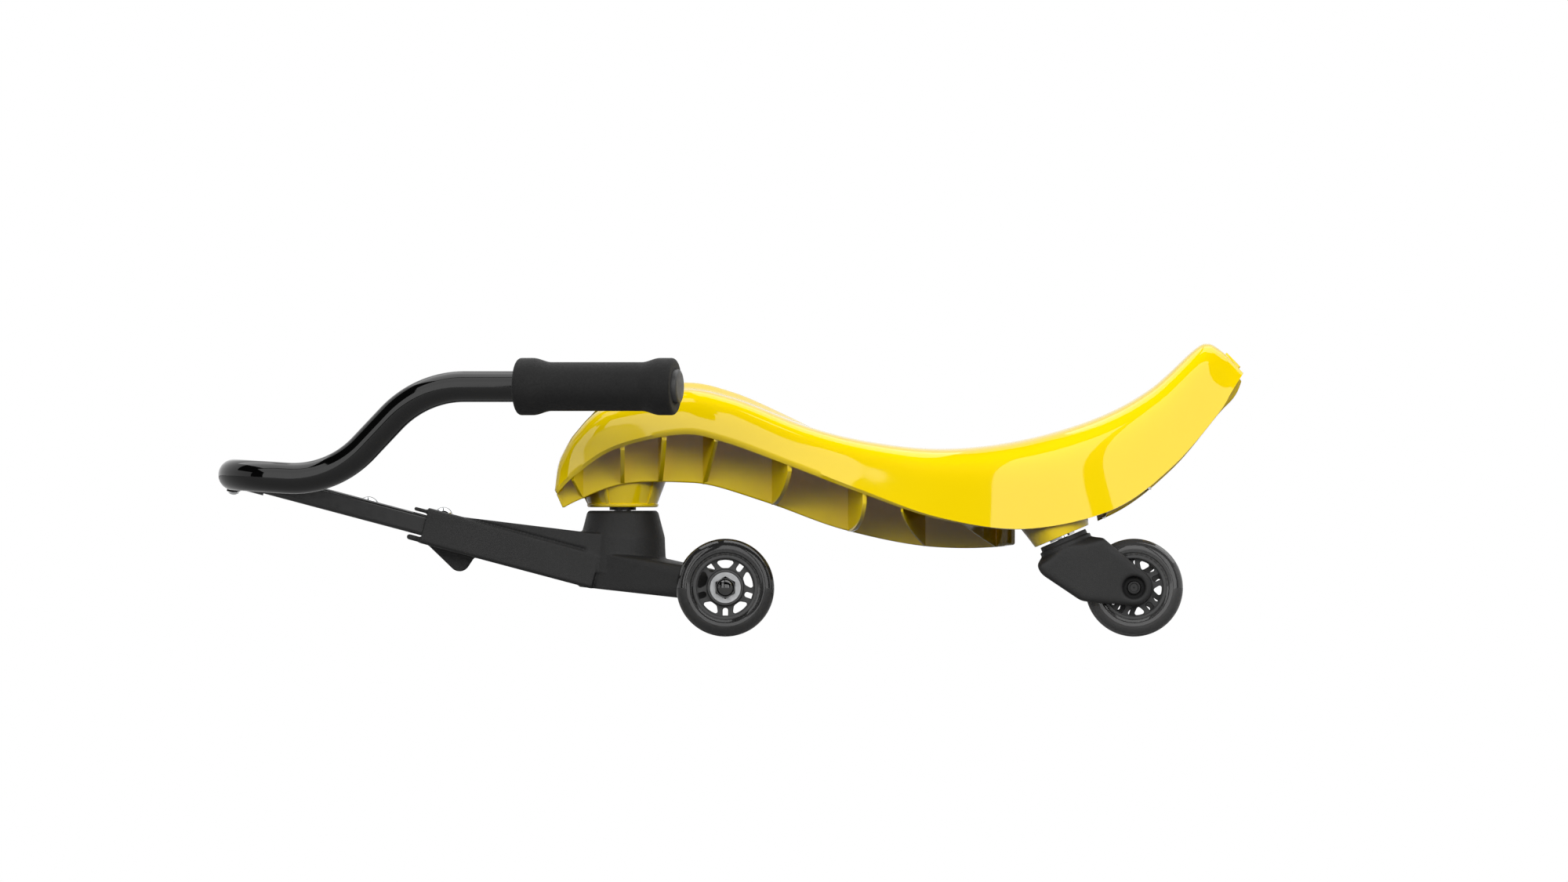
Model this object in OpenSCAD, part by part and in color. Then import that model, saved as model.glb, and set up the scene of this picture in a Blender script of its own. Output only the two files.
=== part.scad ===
// Low four-wheel wiggle ride-on: a ribbed seat moulding on two inclined casters,
// a steered front frame with two wheels, and a U-shaped handlebar on a sliding bar.
// X runs to the rear, Y to the rider's right, Z up, with the floor at Z = 0. Millimetres.

/* [Layout] */
// Steering axis, along X
pivot_x = -77.1; // [-110:0.1:-50]
// Front axle, along X
front_axle_x = -3.8; // [-30:0.1:30]
// Rear axle, along X, with the casters trailing
rear_axle_x = 288.1; // [260:0.1:320]
// Middle plane to the middle of a front tyre
front_track_half = 92; // [80:0.5:115]
// Widest side of the seat to a caster's swivel axis
caster_in = 26; // [23:0.5:26.5]

/* [Wheels] */
// Tyre diameter
wheel_d = 70; // [60:0.5:76]
// Tyre width
wheel_w = 24; // [18:0.5:26]
// Rounding of the tyre's shoulders
tyre_round = 7.5; // [3:0.5:8.5]
// Hub diameter, where the tyre starts
hub_d = 46.4; // [43:0.2:50]
// Hub width, over its rim and its bearing boss
hub_w = 22; // [20:0.5:24]
// Thickness of the hub's pierced web
web_t = 13; // [6:0.5:16]
// Thickness of the hub's rim
rim_t = 2.4; // [2:0.1:3]
// Diameter of the hub's bearing boss
boss_d = 26; // [25:0.2:27]
// Radius of the middle of the oval openings
oval_mid = 17.2; // [16.6:0.1:18]
// Radial height of an oval opening
oval_h = 6.4; // [4:0.1:7]
// Width of an oval opening
oval_w = 13.9; // [9:0.1:14.5]
// Width of a round-ended slot between two ovals
slot_w = 3.8; // [2:0.1:4.4]
// Radial height of such a slot
slot_h = 5.4; // [4:0.1:6.4]
// Openings of each kind in a hub
spokes = 5; // [4:1:5]
// Turn of the left rear wheel's openings against the front ones
rear_turn = 17.5; // [0:0.5:72]
// Turn of the right rear wheel's openings against the left one's
rear_stagger = 15; // [0:0.5:72]

/* [Axles and bearings] */
// Bearing outside diameter
bearing_d = 22; // [20:0.5:23]
// Bearing width
bearing_w = 7; // [5:0.5:8]
// Depth of the shields in a bearing's faces
shield_in = 0.4; // [0.2:0.1:1]
// Width of a bearing's outer ring
race_t = 1.5; // [1:0.1:2]
// Wall of the tube between two bearings, and of a bearing's inner ring
spacer_t = 2; // [1.5:0.1:2.5]
// Front axle and rear sleeve diameter
axle_d = 8; // [6:0.5:9]
// Rear axle bolt diameter
bolt_d = 6; // [4:0.5:6.5]
// Running clearance on the radius
run_fit = 0.05; // [0.02:0.01:0.1]
// Play between parts that turn against each other
side_gap = 0.3; // [0.2:0.05:0.6]
// Cap nut, across flats
nut_af = 14; // [12:0.5:15]
// Height of the cap nut's hexagon
nut_h = 6; // [4:0.5:8]
// Diameter of the washer between frame and wheel
washer_d = 13; // [11:0.5:16]
// Room between the front tyres and the frame's axle beam
beam_room = 2; // [1:0.5:4]
// Head diameter of the rear axle bolt
head_d = 10; // [8:0.5:11]
// Depth of the recess for that head and its nut
cap_in = 4.5; // [4:0.1:5]
// Radius of that recess
cap_r = 8; // [7:0.1:9]
// How far the head and the nut stay below the cheek's face
cap_low = 0.4; // [0.2:0.1:1]
// Gap between the two sleeves in a rear wheel
sleeve_split = 0.2; // [0.1:0.1:1]

/* [Casters] */
// Lean of the swivel axis, its lower end to the rear
caster_tilt = 23; // [15:0.5:26]
// Swivel axis to axle, square to the axis
caster_offset = 33; // [30:0.5:34]
// Seat boss face to axle, along the axis
caster_drop = 54; // [52:0.5:60]
// Gap between a fork's cheeks
fork_gap = 28; // [27:0.5:32]
// Thickness of a fork cheek
cheek_t = 6.5; // [5:0.5:8]
// Radius of the cheek's end around the axle
cheek_r = 13.2; // [10:0.2:15]
// Rounding of the fork's edges
fork_round = 2.6; // [1:0.2:3]
// Collar diameter on top of the fork
collar_d = 35; // [30:0.5:37]
// Diameter of the collar's lower step
collar_low_d = 38.5; // [38:0.5:41]
// Height of the collar above that step
collar_h = 4; // [2:0.5:6]
// Room left around the tyre in the fork
tyre_room = 3; // [2:0.5:3.5]
// Rise of the fork's crown behind the axle, above the axle's middle
crown_rise = 24; // [20:0.5:28]
// Fork outline at its heel: place square to and along the swivel axis, and radius
heel = [4, -38.5, 13.2]; // [-60:0.1:60]
// Fork outline at its front shoulder
front_shoulder = [-11.8, -15, 12.8]; // [-60:0.1:60]
// Fork outline at its rear shoulder
rear_shoulder = [14.5, -16.5, 12.6]; // [-60:0.1:60]
// Diameter of the caster bolt and of its bearings' bore
pin_d = 8; // [6:0.5:9]
// Diameter of the washer between seat boss and fork
stem_d = 19; // [14:0.5:21]
// Thickness of that washer
stem_t = 1.4; // [0.8:0.1:3]
// Distance between the two bearings in a fork
bearing_apart = 5; // [3:0.5:8]
// Head diameter of the caster bolt
pin_head_d = 13; // [11:0.5:15]
// Head height of the caster bolt
pin_head_h = 5; // [3:0.5:6]
// Room around that head
pin_room = 1.5; // [1:0.1:2]
// Wall of the threaded inserts in the seat's bosses
insert_wall = 3; // [2:0.1:4]
// Length of the caster bolts' inserts
insert_l = 26; // [16:0.5:30]

/* [Steering pivot] */
// Diameter of the steering bolt
king_d = 12; // [10:0.5:14]
// Foot of the seat's front boss, above the floor
boss_z = 92.4; // [92:0.1:98]
// Top of the frame's cone, above the floor
cone_z = 90; // [84:0.1:91]
// Diameter of the cone's top
cone_top_d = 51; // [44:0.5:54]
// Diameter of the cone where its taper starts
cone_mid_d = 60.2; // [54:0.2:62]
// Height of that place above the floor
cone_mid_z = 71; // [64:0.5:80]
// Diameter of the cone's foot
cone_foot_d = 62.4; // [58:0.2:66]
// Diameter of the spacer that shows between seat and frame
spacer_d = 19; // [17:0.5:24]
// Diameter of the bushes in the frame
bush_d = 16; // [15:0.5:20]
// Flange diameter of the bushes
flange_d = 22; // [20:0.5:26]
// Flange thickness of the bushes
flange_t = 2; // [1:0.5:3]
// Length of a bush below its flange
bush_l = 13; // [8:0.5:14]
// Depth of the recess below the frame for the bolt's head
recess_h = 12.5; // [12:0.5:16]
// Steering bolt head, across flats
king_af = 19; // [17:0.5:19.5]
// Steering bolt head height
king_head_h = 7.5; // [5:0.5:8]
// Room around the head and the lower bush in that recess
recess_room = 2; // [1:0.5:3]
// Thickness of the washer on the bolt's head
king_washer_t = 1.5; // [1:0.1:2.5]
// Length of the bolt inside the seat's front boss
king_in = 34; // [24:0.5:40]
// Edge bevel on top of the cone
top_bevel = 1.5; // [0.5:0.1:3]

/* [Front frame] */
// Underside of the frame below the cone, above the floor
frame_z = 33; // [32:0.5:36]
// Fall of the frame's body towards the axle
body_fall = 4.7; // [0:0.1:8]
// Height of the frame's body below the cone
body_h = 25; // [22:0.5:28]
// Axle beam diameter
beam_d = 22; // [20:0.5:26]
// Slope of the sleeve and the bar, falling to the rear
bar_slope = 14.9; // [12:0.1:17]
// Height of the bar's middle line at the steering axis
bar_z = 41.7; // [40:0.1:44]
// Steering axis to the sleeve's mouth, along the slope
mouth = 146.8; // [135:0.2:150]
// Sleeve height
sleeve_h = 26; // [24:0.5:28]
// Sleeve width
sleeve_w = 52; // [46:0.5:56]
// Rounding of the sleeve's long edges
sleeve_round = 2.5; // [1:0.25:4]
// Depth of the sleeve's bore from the mouth
sleeve_depth = 116; // [112:0.5:118]
// Wall behind that bore
end_wall = 11; // [8:0.5:20]
// How far the lips stand out of the mouth
lip_l = 10; // [4:0.5:12]
// Width of the lips
lip_w = 26; // [16:0.5:34]
// Thickness of the upper lip
lip_t = 2.6; // [1.5:0.1:3]
// Thickness of the lower lip
low_lip_t = 3.8; // [2:0.1:4]
// Gap between the lips and the bar
lip_gap = 1.2; // [0.4:0.1:1.5]
// Length of the lips inside the mouth
lip_root = 6; // [4:0.5:10]
// Mouth to the front end of the gusset on the sleeve
gusset_in = 26; // [20:0.5:34]
// Drop of the gusset's rear end below the top of the cone
gusset_drop = 16.8; // [12:0.1:20]
// Steering axis to that rear end
gusset_end = 14.7; // [10:0.1:20]
// Thickness of the gusset between sleeve and cone
gusset_t = 51; // [40:0.5:51.5]
// Width of the groove between the gusset's sides and the sleeve
groove_w = 2; // [1:0.1:3]
// Thickness of the lug under the sleeve
lug_t = 9; // [5:0.5:16]
// How far the lug reaches below the sleeve
lug_h = 12.5; // [6:0.5:16]
// Mouth to the lug's front
lug_in = 6.6; // [5:0.1:14]
// Length of the lug at the sleeve
lug_l = 34; // [24:0.5:40]
// Mouth to the lug's tip
lug_tip = 31; // [20:0.5:36]
// Rounding of the lug's tip
lug_r = 7.5; // [5:0.5:10]
// Mouth to the clamp bolt
clamp_in = 11.8; // [9:0.2:16]
// Clamp bolt diameter
clamp_d = 6; // [5:0.5:8]
// Clamp bolt head diameter
clamp_head_d = 12; // [10:0.5:15]
// Clamp bolt head height
clamp_head_h = 3.5; // [2:0.25:5]
// Clamp nut diameter
clamp_nut_d = 11; // [9:0.5:13]
// Clamp nut height
clamp_nut_h = 3; // [2:0.25:3.5]
// Wall below the clamp nut, which is moulded into the sleeve
nut_in = 1; // [0.5:0.1:1.2]
// Room around the clamp bolt in the bar's slot
slot_room = 0.5; // [0.2:0.1:1]

/* [Handlebar] */
// Extension bar height
bar_h = 15; // [12:0.5:16]
// Extension bar width
bar_w = 28; // [22:0.5:30]
// Wall of the extension bar
bar_wall = 1.6; // [1:0.1:2.5]
// Corner radius of the extension bar
bar_round = 2.5; // [1.8:0.1:4]
// Room around the bar in its sleeve
bar_room = 0.3; // [0.2:0.05:0.6]
// Length of bar inside the sleeve
bar_in = 82; // [76:0.5:84]
// Length of the plug in the bar's inner end
glide_in = 12; // [8:0.5:20]
// Thickness of that plug's head
glide_t = 3; // [2:0.5:5]
// Travel of the bar into the sleeve
travel_in = 24; // [15:1:26]
// Travel of the bar out of the sleeve
travel_out = 40; // [20:1:40]
// Steering axis to the crossbar's middle, along the slope
reach = 287.5; // [275:0.5:300]
// Tube diameter
tube_d = 22.2; // [20:0.1:25.4]
// Tube wall
tube_wall = 1.5; // [1:0.1:2.5]
// How much the wall thins in the bends, on each face
bend_thin = 0.03; // [0.02:0.01:0.1]
// Half of the crossbar's straight length
cross_half = 50; // [40:1:80]
// Middle-line radius of the front corners
corner_r = 42; // [40:1:60]
// Outward splay of the arms
splay = 15; // [5:0.5:20]
// Fall of the arms behind the crossbar
arm_fall = 3.6; // [0:0.1:6]
// Straight arm behind the corner
arm_l = 7.8; // [3:0.2:20]
// Steepest climb of the arms
climb = 45.8; // [40:0.2:55]
// Middle-line radius of the lower bend
low_r = 72; // [60:1:90]
// Middle-line radius of the upper bend
high_r = 75; // [50:1:80]
// Height of the grips' middle line above the floor
grip_z = 178.6; // [170:0.2:190]
// Straight tube from the upper bend to its end
top_l = 153.2; // [150:0.2:170]
// Grip length
grip_l = 116.5; // [100:0.5:130]
// Grip diameter
grip_d = 35; // [30:0.5:37]
// Grip flange diameter
grip_flange_d = 41; // [39:0.5:44]
// Rounding of the beads at the grip's ends
bead_r = 3; // [1.5:0.1:4]
// Length of a bead
bead_l = 13; // [8:0.5:16]
// Length of the cone between a bead and the grip's body
cone_l = 11; // [6:0.5:16]
// How far the grip reaches past the tube's end
grip_cover = 3; // [2:0.1:5]
// Diameter of the plug in the grip's end
plug_d = 24.6; // [20:0.2:27]
// How far the plug stands out of the grip
plug_out = 3.75; // [1:0.25:4]
// Length of the plug inside the tube
plug_in = 14; // [8:0.5:20]
// Wall of the saddle around bar and crossbar
saddle_t = 1.5; // [1:0.1:3]
// Width of the saddle
saddle_w = 34; // [33:0.5:40]
// Length of the saddle along the bar
saddle_l = 24; // [20:0.5:30]
// How far the saddle's strap reaches forward of the crossbar's middle
strap_past = 2; // [1.8:0.1:6]
// Saddle bolt diameter
saddle_bolt_d = 5; // [3:0.5:6]
// Middle plane to a saddle bolt
saddle_bolt_half = 10; // [7:0.5:13]
// Length of a saddle bolt inside the tube
saddle_bolt_in = 4; // [2:0.5:8]
// Steering axis to the stop screw, along the slope
stop_at = 188.4; // [184:0.2:195]
// Stop screw head diameter
stop_head_d = 11.8; // [8:0.2:12]
// Stop screw head height
stop_head_h = 2.5; // [1:0.25:3.5]
// Length of the stop screw below its head
stop_l = 6; // [3:0.5:7]
// Saddle bolt head diameter
dome_d = 8.2; // [6:0.2:10]
// Saddle bolt head height
dome_h = 1.7; // [1:0.1:3]

/* [Seat] */
// Wall thickness of the seat shell
seat_t = 3; // [2.5:0.1:4]
// Squareness of the seat's cross-section
seat_square = 8; // [3:0.5:12]
// Widest half-width of the seat
seat_half = 96; // [95.5:0.5:102]
// Middle plane to the two long webs under the seat
web_half = 30; // [28:0.5:34]
// Thickness of the seat's ribs
rib_t = 2.8; // [2:0.1:4]
// Rounding of the nose's edges
nose_round = 5; // [2:0.5:8]
// Rounding of the tail face's edges
tail_round = 2.5; // [1:0.5:5]
// Height of the raised ridge on the hump
ridge_h = 4.2; // [0.5:0.1:6]
// Half-width of the ridge
ridge_half = 24; // [12:1:34]
// Foot diameter of the front boss
front_boss_d = 51; // [44:0.5:56]
// Foot diameter of the two caster bosses
rear_boss_d = 42; // [38:0.5:46]
// Spread of the front boss for each millimetre of height
front_draft = 0.37; // [0.1:0.01:0.45]
// Spread of the caster bosses for each millimetre of height
rear_draft = 0.25; // [0.1:0.01:0.35]
// Height over which the bosses spread
boss_spread_h = 20; // [10:1:30]
// Size of the raised pad on the tail face, along the face
pad_l = 14.4; // [8:0.2:18]
// Half-width of the raised pad on the tail face
pad_half = 15; // [8:0.5:24]
// Height of the raised pad
pad_h = 1.7; // [0.5:0.1:3]

/* [Seat line] */
// Stations from nose to tail: top line X and Z, wall edge X and Z, half-width as a share of
// the widest, depth of the ribs below the wall's edge, drop of the wall's inner edge, and
// roundness of the ribs' lower edges, 1 for straight and 2 for round. Foot of the nose
nose = [-123.2, 125.4, -125.7, 104.7, 0.42, 18, 4.6, 1]; // [-400:0.1:400]
// Front of the hump
brow = [-110.9, 145.9, -110.3, 119.3, 0.49, 22.4, 3.5, 1]; // [-400:0.1:400]
// Hump above the steering axis
crest_front = [-87.9, 165.2, -82.3, 136.6, 0.565, 28.3, 2.5, 1.2]; // [-400:0.1:400]
// Top of the hump
crest = [-37.5, 177.2, -35.8, 147, 0.648, 37, 2.7, 1.2]; // [-400:0.1:400]
// Hump starting to fall
crest_rear = [1.7, 170.8, -3.9, 141.7, 0.702, 35.2, 2.9, 1]; // [-400:0.1:400]
// Fall to the seat
slope = [54.9, 150.4, 43.7, 124.3, 0.788, 32.9, 2.7, 1.4]; // [-400:0.1:400]
// Front of the seat's dip
dip_front = [99.7, 139.4, 91.3, 105.6, 0.871, 31, 2.2, 2]; // [-400:0.1:400]
// Lowest place of the seat
dip = [151.8, 134.4, 149, 85.1, 0.954, 21.3, 1.2, 1]; // [-400:0.1:400]
// Widest place, ahead of the casters
dip_rear = [206.1, 140.3, 210.6, 77, 1, 10, 0.3, 1]; // [-400:0.1:400]
// Rise above the casters
rise = [259.3, 155.7, 272.6, 90.6, 0.95, 3, 0.1, 1.4]; // [-400:0.1:400]
// Climb to the tail
climb_rear = [298.5, 176.4, 314.8, 120.8, 0.825, 1.3, 0.1, 1.4]; // [-400:0.1:400]
// Front of the tail
tail_front = [330.4, 204.7, 347.2, 157.9, 0.645, 0.3, 0.1, 1.4]; // [-400:0.1:400]
// Highest place, on the tail
tail = [341, 209.4, 358.4, 175.8, 0.57, 4.2, 0.1, 1.4]; // [-400:0.1:400]
// Flat face that ends the tail
tail_face = [350, 205, 366.2, 188.2, 0.5, 0.4, 0.1, 1.4]; // [-400:0.1:400]
// Places of the side ribs at the wall, along X
rib_out = [-114.3, -77.3, -47.2, -9.6, 42.9, 96.3, 121.5, 164.6, 268, 299]; // [-130:0.1:330]
// Places of the same ribs at the web, along X
rib_in = [-105.9, -77.3, -50.3, -18.5, 30.5, 85, 138.8, 189.2, 266, 299]; // [-130:0.1:330]
// Thickness of the same ribs, as shares of rib_t
rib_share = [0.8, 1.1, 1.2, 1.2, 1.1, 1, 0.5, 0.5, 0.8, 0.8]; // [0.5:0.1:2]
// Places of the ribs between the two webs, along X
cross_ribs = [-105.9, -18.5, 30.5, 85, 138.8, 189.2, 266, 299]; // [-130:0.1:330]
// Front end of the two long webs, along X
web_start = -124; // [-130:0.1:-100]
// Round posts that end those webs ahead of the casters, along X
post_x = 196.3; // [192:0.1:204]
// Diameter of those posts
post_d = 13.4; // [8:0.2:16]
// Front and rear end of the webs behind the casters, along X
tail_web = [262, 364]; // [250:0.1:370]

/* [Hidden] */
$fn = 64;
eps = 0.01;
over = 1;
facets = 48;
seat_below = 70;
slab_top = 230;

yellow = "#f3d600";
black = "#2e2e2e";
gloss = "#141414";
rubber = "#303030";
smoke = "#4a4a4a";
steel = "#b9bcc0";
chrome = "#d8dade";
brass = "#b8964a";

axle_z = wheel_d / 2;
beam_half = front_track_half - wheel_w / 2 - beam_room;
washer_t = front_track_half - hub_w / 2 - side_gap - beam_half;
axle_end = front_track_half + hub_w / 2 + side_gap + nut_h;
nut_r = nut_af / 2 / cos(30);
spacer_r = axle_d / 2 + spacer_t;

// Swivel point on the caster's axis, in the plane of the seat boss's foot
caster_x = rear_axle_x - caster_drop * sin(caster_tilt) - caster_offset * cos(caster_tilt);
caster_z = axle_z + caster_drop * cos(caster_tilt) - caster_offset * sin(caster_tilt);
head_gap = stem_t + side_gap;
fork_foot = head_gap + 2 * bearing_w + bearing_apart;
fork_half = fork_gap / 2 + cheek_t;
caster_half = seat_half - caster_in;
slot_r = wheel_d / 2 + tyre_room;

// Steering pivot heights
recess_top = frame_z + recess_h;
king_seat = recess_top - flange_t - 2 * side_gap - king_washer_t;
king_end = boss_z + king_in;

// Bar frame: local X forward and up along the slope, from the steering axis
slot_d = clamp_d + 2 * slot_room;
cavity_end = mouth - sleeve_depth;
bar_start = mouth - bar_in;
clamp_at = mouth - clamp_in;
cross_x = pivot_x - reach * cos(bar_slope);
cross_z = bar_z + reach * sin(bar_slope);

// Handlebar arm: the middle straight makes up the height between crossbar and grip
corner_a = 90 - splay;
arm_pitch = asin(sin(corner_a) * sin(arm_fall));
corner_dz = -corner_r * (1 - cos(corner_a)) * sin(arm_fall);
low_dz = low_r * (cos(arm_pitch) - cos(climb));
high_dz = high_r * (1 - cos(climb));
mid_l = (grip_z - cross_z - corner_dz + arm_l * sin(arm_pitch) - low_dz - high_dz) / sin(climb);

stations = [nose, brow, crest_front, crest, crest_rear, slope, dip_front, dip, dip_rear, rise,
  climb_rear, tail_front, tail, tail_face];
last = len(stations) - 1;

// A point of the smooth curve through a list, at place u counted in list steps
function before(list, i) = i < 0 ? 2 * list[0] - list[1]
  : i > len(list) - 1 ? 2 * list[len(list) - 1] - list[len(list) - 2] : list[i];
function blend(a, b, c, d, t) = 0.5 * (2 * b + (c - a) * t + (2 * a - 5 * b + 4 * c - d) * t * t
  + (3 * b - a - 3 * c + d) * t * t * t);
function station(u) = let(i = min(floor(u), last - 1))
  blend(before(stations, i - 1), before(stations, i), before(stations, i + 1),
    before(stations, i + 2), u - i);

// Length of the seat's middle line between the first or last two stations
function mid(s) = [(s[0] + s[2]) / 2, (s[1] + s[3]) / 2];
nose_step = norm(mid(nose) - mid(brow));
tail_step = norm(mid(tail_face) - mid(tail));

// How far the cross-section pulls in near the two ends, to round their edges
function pull(d, r) = d >= r ? 0 : r - sqrt(r * r - (r - d) * (r - d));
function end_pull(u) = pull(u * nose_step, nose_round) + pull((last - u) * tail_step, tail_round);

// A point of station u, from across (Y) and up along the line from wall edge to top
function place(u, y, v) = let(s = station(u), h = norm([s[0] - s[2], s[1] - s[3]]),
  up = [s[0] - s[2], s[1] - s[3]] / h) [s[2] + up[0] * v, y, s[3] + up[1] * v];
function height(u) = let(s = station(u)) norm([s[0] - s[2], s[1] - s[3]]);
function half(u) = station(u)[4] * seat_half;
// Depth of the ribs and drop of the wall's inner edge, both growing from nothing at the nose
nose_rise = 0.5;
least_depth = 0.3;
function depth(u) = max(least_depth, station(u)[5]) * min(1, u / nose_rise + 0.02);
function edge_drop(u) = station(u)[6] * min(1, u * nose_step / seat_t + 0.05);

// Place along the stations whose wall edge stands at a given X
function edge_at(x, from = 0, to = last, n = 20) = let(m = (from + to) / 2)
  n == 0 ? m : station(m)[2] < x ? edge_at(x, m, to, n - 1) : edge_at(x, from, m, n - 1);

// Seen from above, the outer end of side rib i: past the wall by a share of the rib's length
rib_past = 0.2;
function rib_end(i) = let(in = [rib_in[i], web_half], out = [rib_out[i], half(edge_at(rib_out[i]))])
  out + (out - in) * rib_past;

// Superellipse arch of half-width w and height h, with its points gathered at the shoulders
arch_steps = 20;
function arch_angle(k) = let(c = 4 * k / arch_steps, q = c <= 2 ? c - 1 : c - 3)
  (c <= 2 ? 45 : 135) + 45 * sign(q) * pow(abs(q), 1.8);
function arch_r(a) = pow(pow(abs(cos(a)), seat_square) + pow(abs(sin(a)), seat_square), -1 / seat_square);
function arch(w, h) = [for (k = [0:arch_steps]) let(a = arch_angle(k))
  [w * cos(a) * arch_r(a), h * sin(a) * arch_r(a)]];

// Rings of the outside, the hollow and the ribbed space below
function outer_ring(u) = let(p = end_pull(u), w = half(u) - p, h = height(u) - p, d = edge_drop(u))
  [for (q = concat(arch(w, h), [[seat_t - w, -d], [w - seat_t, -d]])) place(u, q[0], q[1])];
function hollow_ring(u) = let(w = half(u) - seat_t, h = height(u) - seat_t)
  [for (q = concat(arch(w, h), [[-w, -seat_below], [w, -seat_below]])) place(u, q[0], q[1])];
cut_steps = 3;
function cut_side(w, u, s) = let(d = depth(u), e = edge_drop(u), in = min(web_half, w - 4),
    p = 2 / station(u)[7])
  [for (k = [0:cut_steps]) let(a = 90 * k / cut_steps)
    [s * (in + (w - in) * pow(cos(a), p)), -e - (d - e) * pow(sin(a), p)]];
function core_ring(u) = let(w = half(u) - seat_t / 2, h = height(u) - seat_t / 2,
    left = cut_side(w, u, -1), right = cut_side(w, u, 1))
  [for (q = concat(arch(w, h), left, [for (k = [cut_steps:-1:0]) right[k]])) place(u, q[0], q[1])];
function deep_ring(u) = let(w = half(u) - seat_t / 2, h = height(u) - seat_t / 2)
  [for (q = concat(arch(w, h), [[-w, -seat_below], [w, -seat_below]])) place(u, q[0], q[1])];

// Ridge on the hump, from and to these places along the stations
ridge_from = 1.55;
ridge_to = 5.1;
ridge_steps = 12;
function ridge_ring(u) = let(f = max(0.02, sin(180 * (u - ridge_from) / (ridge_to - ridge_from))),
    w = ridge_half * pow(f, 0.5), top = ridge_h * pow(f, 0.7), h = height(u) - 3)
  [for (k = [0:12]) let(a = 15 * k) place(u, w * cos(a) * arch_r(a), h + (top + 3) * sin(a) * arch_r(a))];

// Places of the outer rings: close together at the rounded ends
end_steps = 4;
nose_us = [for (k = [0:end_steps - 1]) (1 - cos(90 * k / end_steps)) * nose_round / nose_step];
tail_us = [for (k = [end_steps - 1:-1:0]) last - (1 - cos(90 * k / end_steps)) * tail_round / tail_step];
body_steps = 27;
body_us = [for (k = [0:body_steps]) nose_round / nose_step
  + (last - tail_round / tail_step - nose_round / nose_step) * k / body_steps];
outer_us = concat(nose_us, body_us, tail_us);
inner_from = seat_t / nose_step;
inner_to = last - seat_t / tail_step;
inner_us = [for (k = [0:body_steps]) inner_from + (inner_to - inner_from) * k / body_steps];

// Solid through a list of rings that all have the same number of points
module loft(rings) {
  n = len(rings[0]);
  m = len(rings);
  polyhedron(
    points = [for (r = rings) each r],
    faces = concat([[for (k = [0:n - 1]) k]], [[for (k = [n - 1:-1:0]) (m - 1) * n + k]],
      [for (i = [0:m - 2], k = [0:n - 1]) [i * n + k, (i + 1) * n + k, i * n + (k + 1) % n]],
      [for (i = [0:m - 2], k = [0:n - 1])
        [i * n + (k + 1) % n, (i + 1) * n + k, (i + 1) * n + (k + 1) % n]]));
}

// Upright slab between two points seen from above
module slab(from, to, t) {
  hull() {
    translate(from) cylinder(d = t, h = slab_top, $fn = 6);
    translate(to) cylinder(d = t, h = slab_top, $fn = 6);
  }
}

module at_caster(side) {
  translate([caster_x, side * caster_half, caster_z]) rotate([0, -caster_tilt, 0]) children();
}

module at_bar() {
  translate([pivot_x, 0, bar_z]) rotate([0, 0, 180]) rotate([0, -bar_slope, 0]) children();
}

module at_front_wheel(side) {
  translate([front_axle_x, side * front_track_half, axle_z]) rotate([90, 0, 0]) children();
}

module at_rear_wheel(side) {
  at_caster(side) translate([caster_offset, 0, -caster_drop]) rotate([90, 0, 0]) children();
}

// Boss that spreads upwards from its foot and then runs on into the seat
module boss_with_draft(d, draft) {
  wide = d / 2 + boss_spread_h * draft;
  cylinder(r1 = d / 2, r2 = wide, h = boss_spread_h);
  translate([0, 0, boss_spread_h - eps]) cylinder(r = wide, h = seat_below);
}

// Round cut in the seat for an insert of diameter d and length l
module insert_seat(d, l) {
  translate([0, 0, -over]) cylinder(d = d / cos(180 / facets), h = l + over, $fn = facets);
}

module seat_shell() {
  color(yellow) difference() {
    union() {
      difference() {
        loft([for (u = outer_us) outer_ring(u)]);
        loft([for (u = inner_us) hollow_ring(u)]);
      }
      intersection() {
        loft([for (u = inner_us) core_ring(u)]);
        union() {
          for (side = [-1, 1]) {
            slab([web_start, side * web_half], [post_x, side * web_half], rib_t);
            slab([tail_web[0], side * web_half], [tail_web[1], side * web_half], rib_t);
            translate([post_x, side * web_half, 0]) cylinder(d = post_d, h = slab_top, $fn = 24);
            for (i = [0:len(rib_out) - 1])
              slab([rib_end(i)[0], side * rib_end(i)[1]], [rib_in[i], side * web_half],
                rib_t * rib_share[i]);
          }
          for (x = cross_ribs)
            slab([x, -web_half], [x, web_half], rib_t);
        }
      }
      intersection() {
        loft([for (u = inner_us) deep_ring(u)]);
        union() {
          translate([pivot_x, 0, boss_z]) intersection() {
            boss_with_draft(front_boss_d, front_draft);
            translate([-seat_half, -web_half, 0]) cube([2 * seat_half, 2 * web_half, slab_top]);
          }
          for (side = [-1, 1])
            at_caster(side) boss_with_draft(rear_boss_d, rear_draft);
        }
      }
      loft([for (k = [0:ridge_steps]) ridge_ring(ridge_from + (ridge_to - ridge_from) * k / ridge_steps)]);
      tail_pad();
    }
    translate([pivot_x, 0, boss_z]) insert_seat(king_d + 2 * insert_wall, king_in);
    for (side = [-1, 1])
      at_caster(side) insert_seat(pin_d + 2 * insert_wall, insert_l);
  }
}

// Flat raised pad on the sloping tail face
module tail_pad() {
  a = atan2(tail_face[1] - tail_face[3], tail_face[2] - tail_face[0]);
  translate([(tail_face[0] + tail_face[2]) / 2, 0, (tail_face[1] + tail_face[3]) / 2])
    rotate([0, a, 0]) translate([-pad_l / 2, -pad_half, -seat_t / 2])
      cube([pad_l, 2 * pad_half, pad_h + seat_t / 2]);
}

// Threaded sleeve in a seat boss
module insert_tube(d, l) {
  ring(d, d + 2 * insert_wall, l);
}

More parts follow.
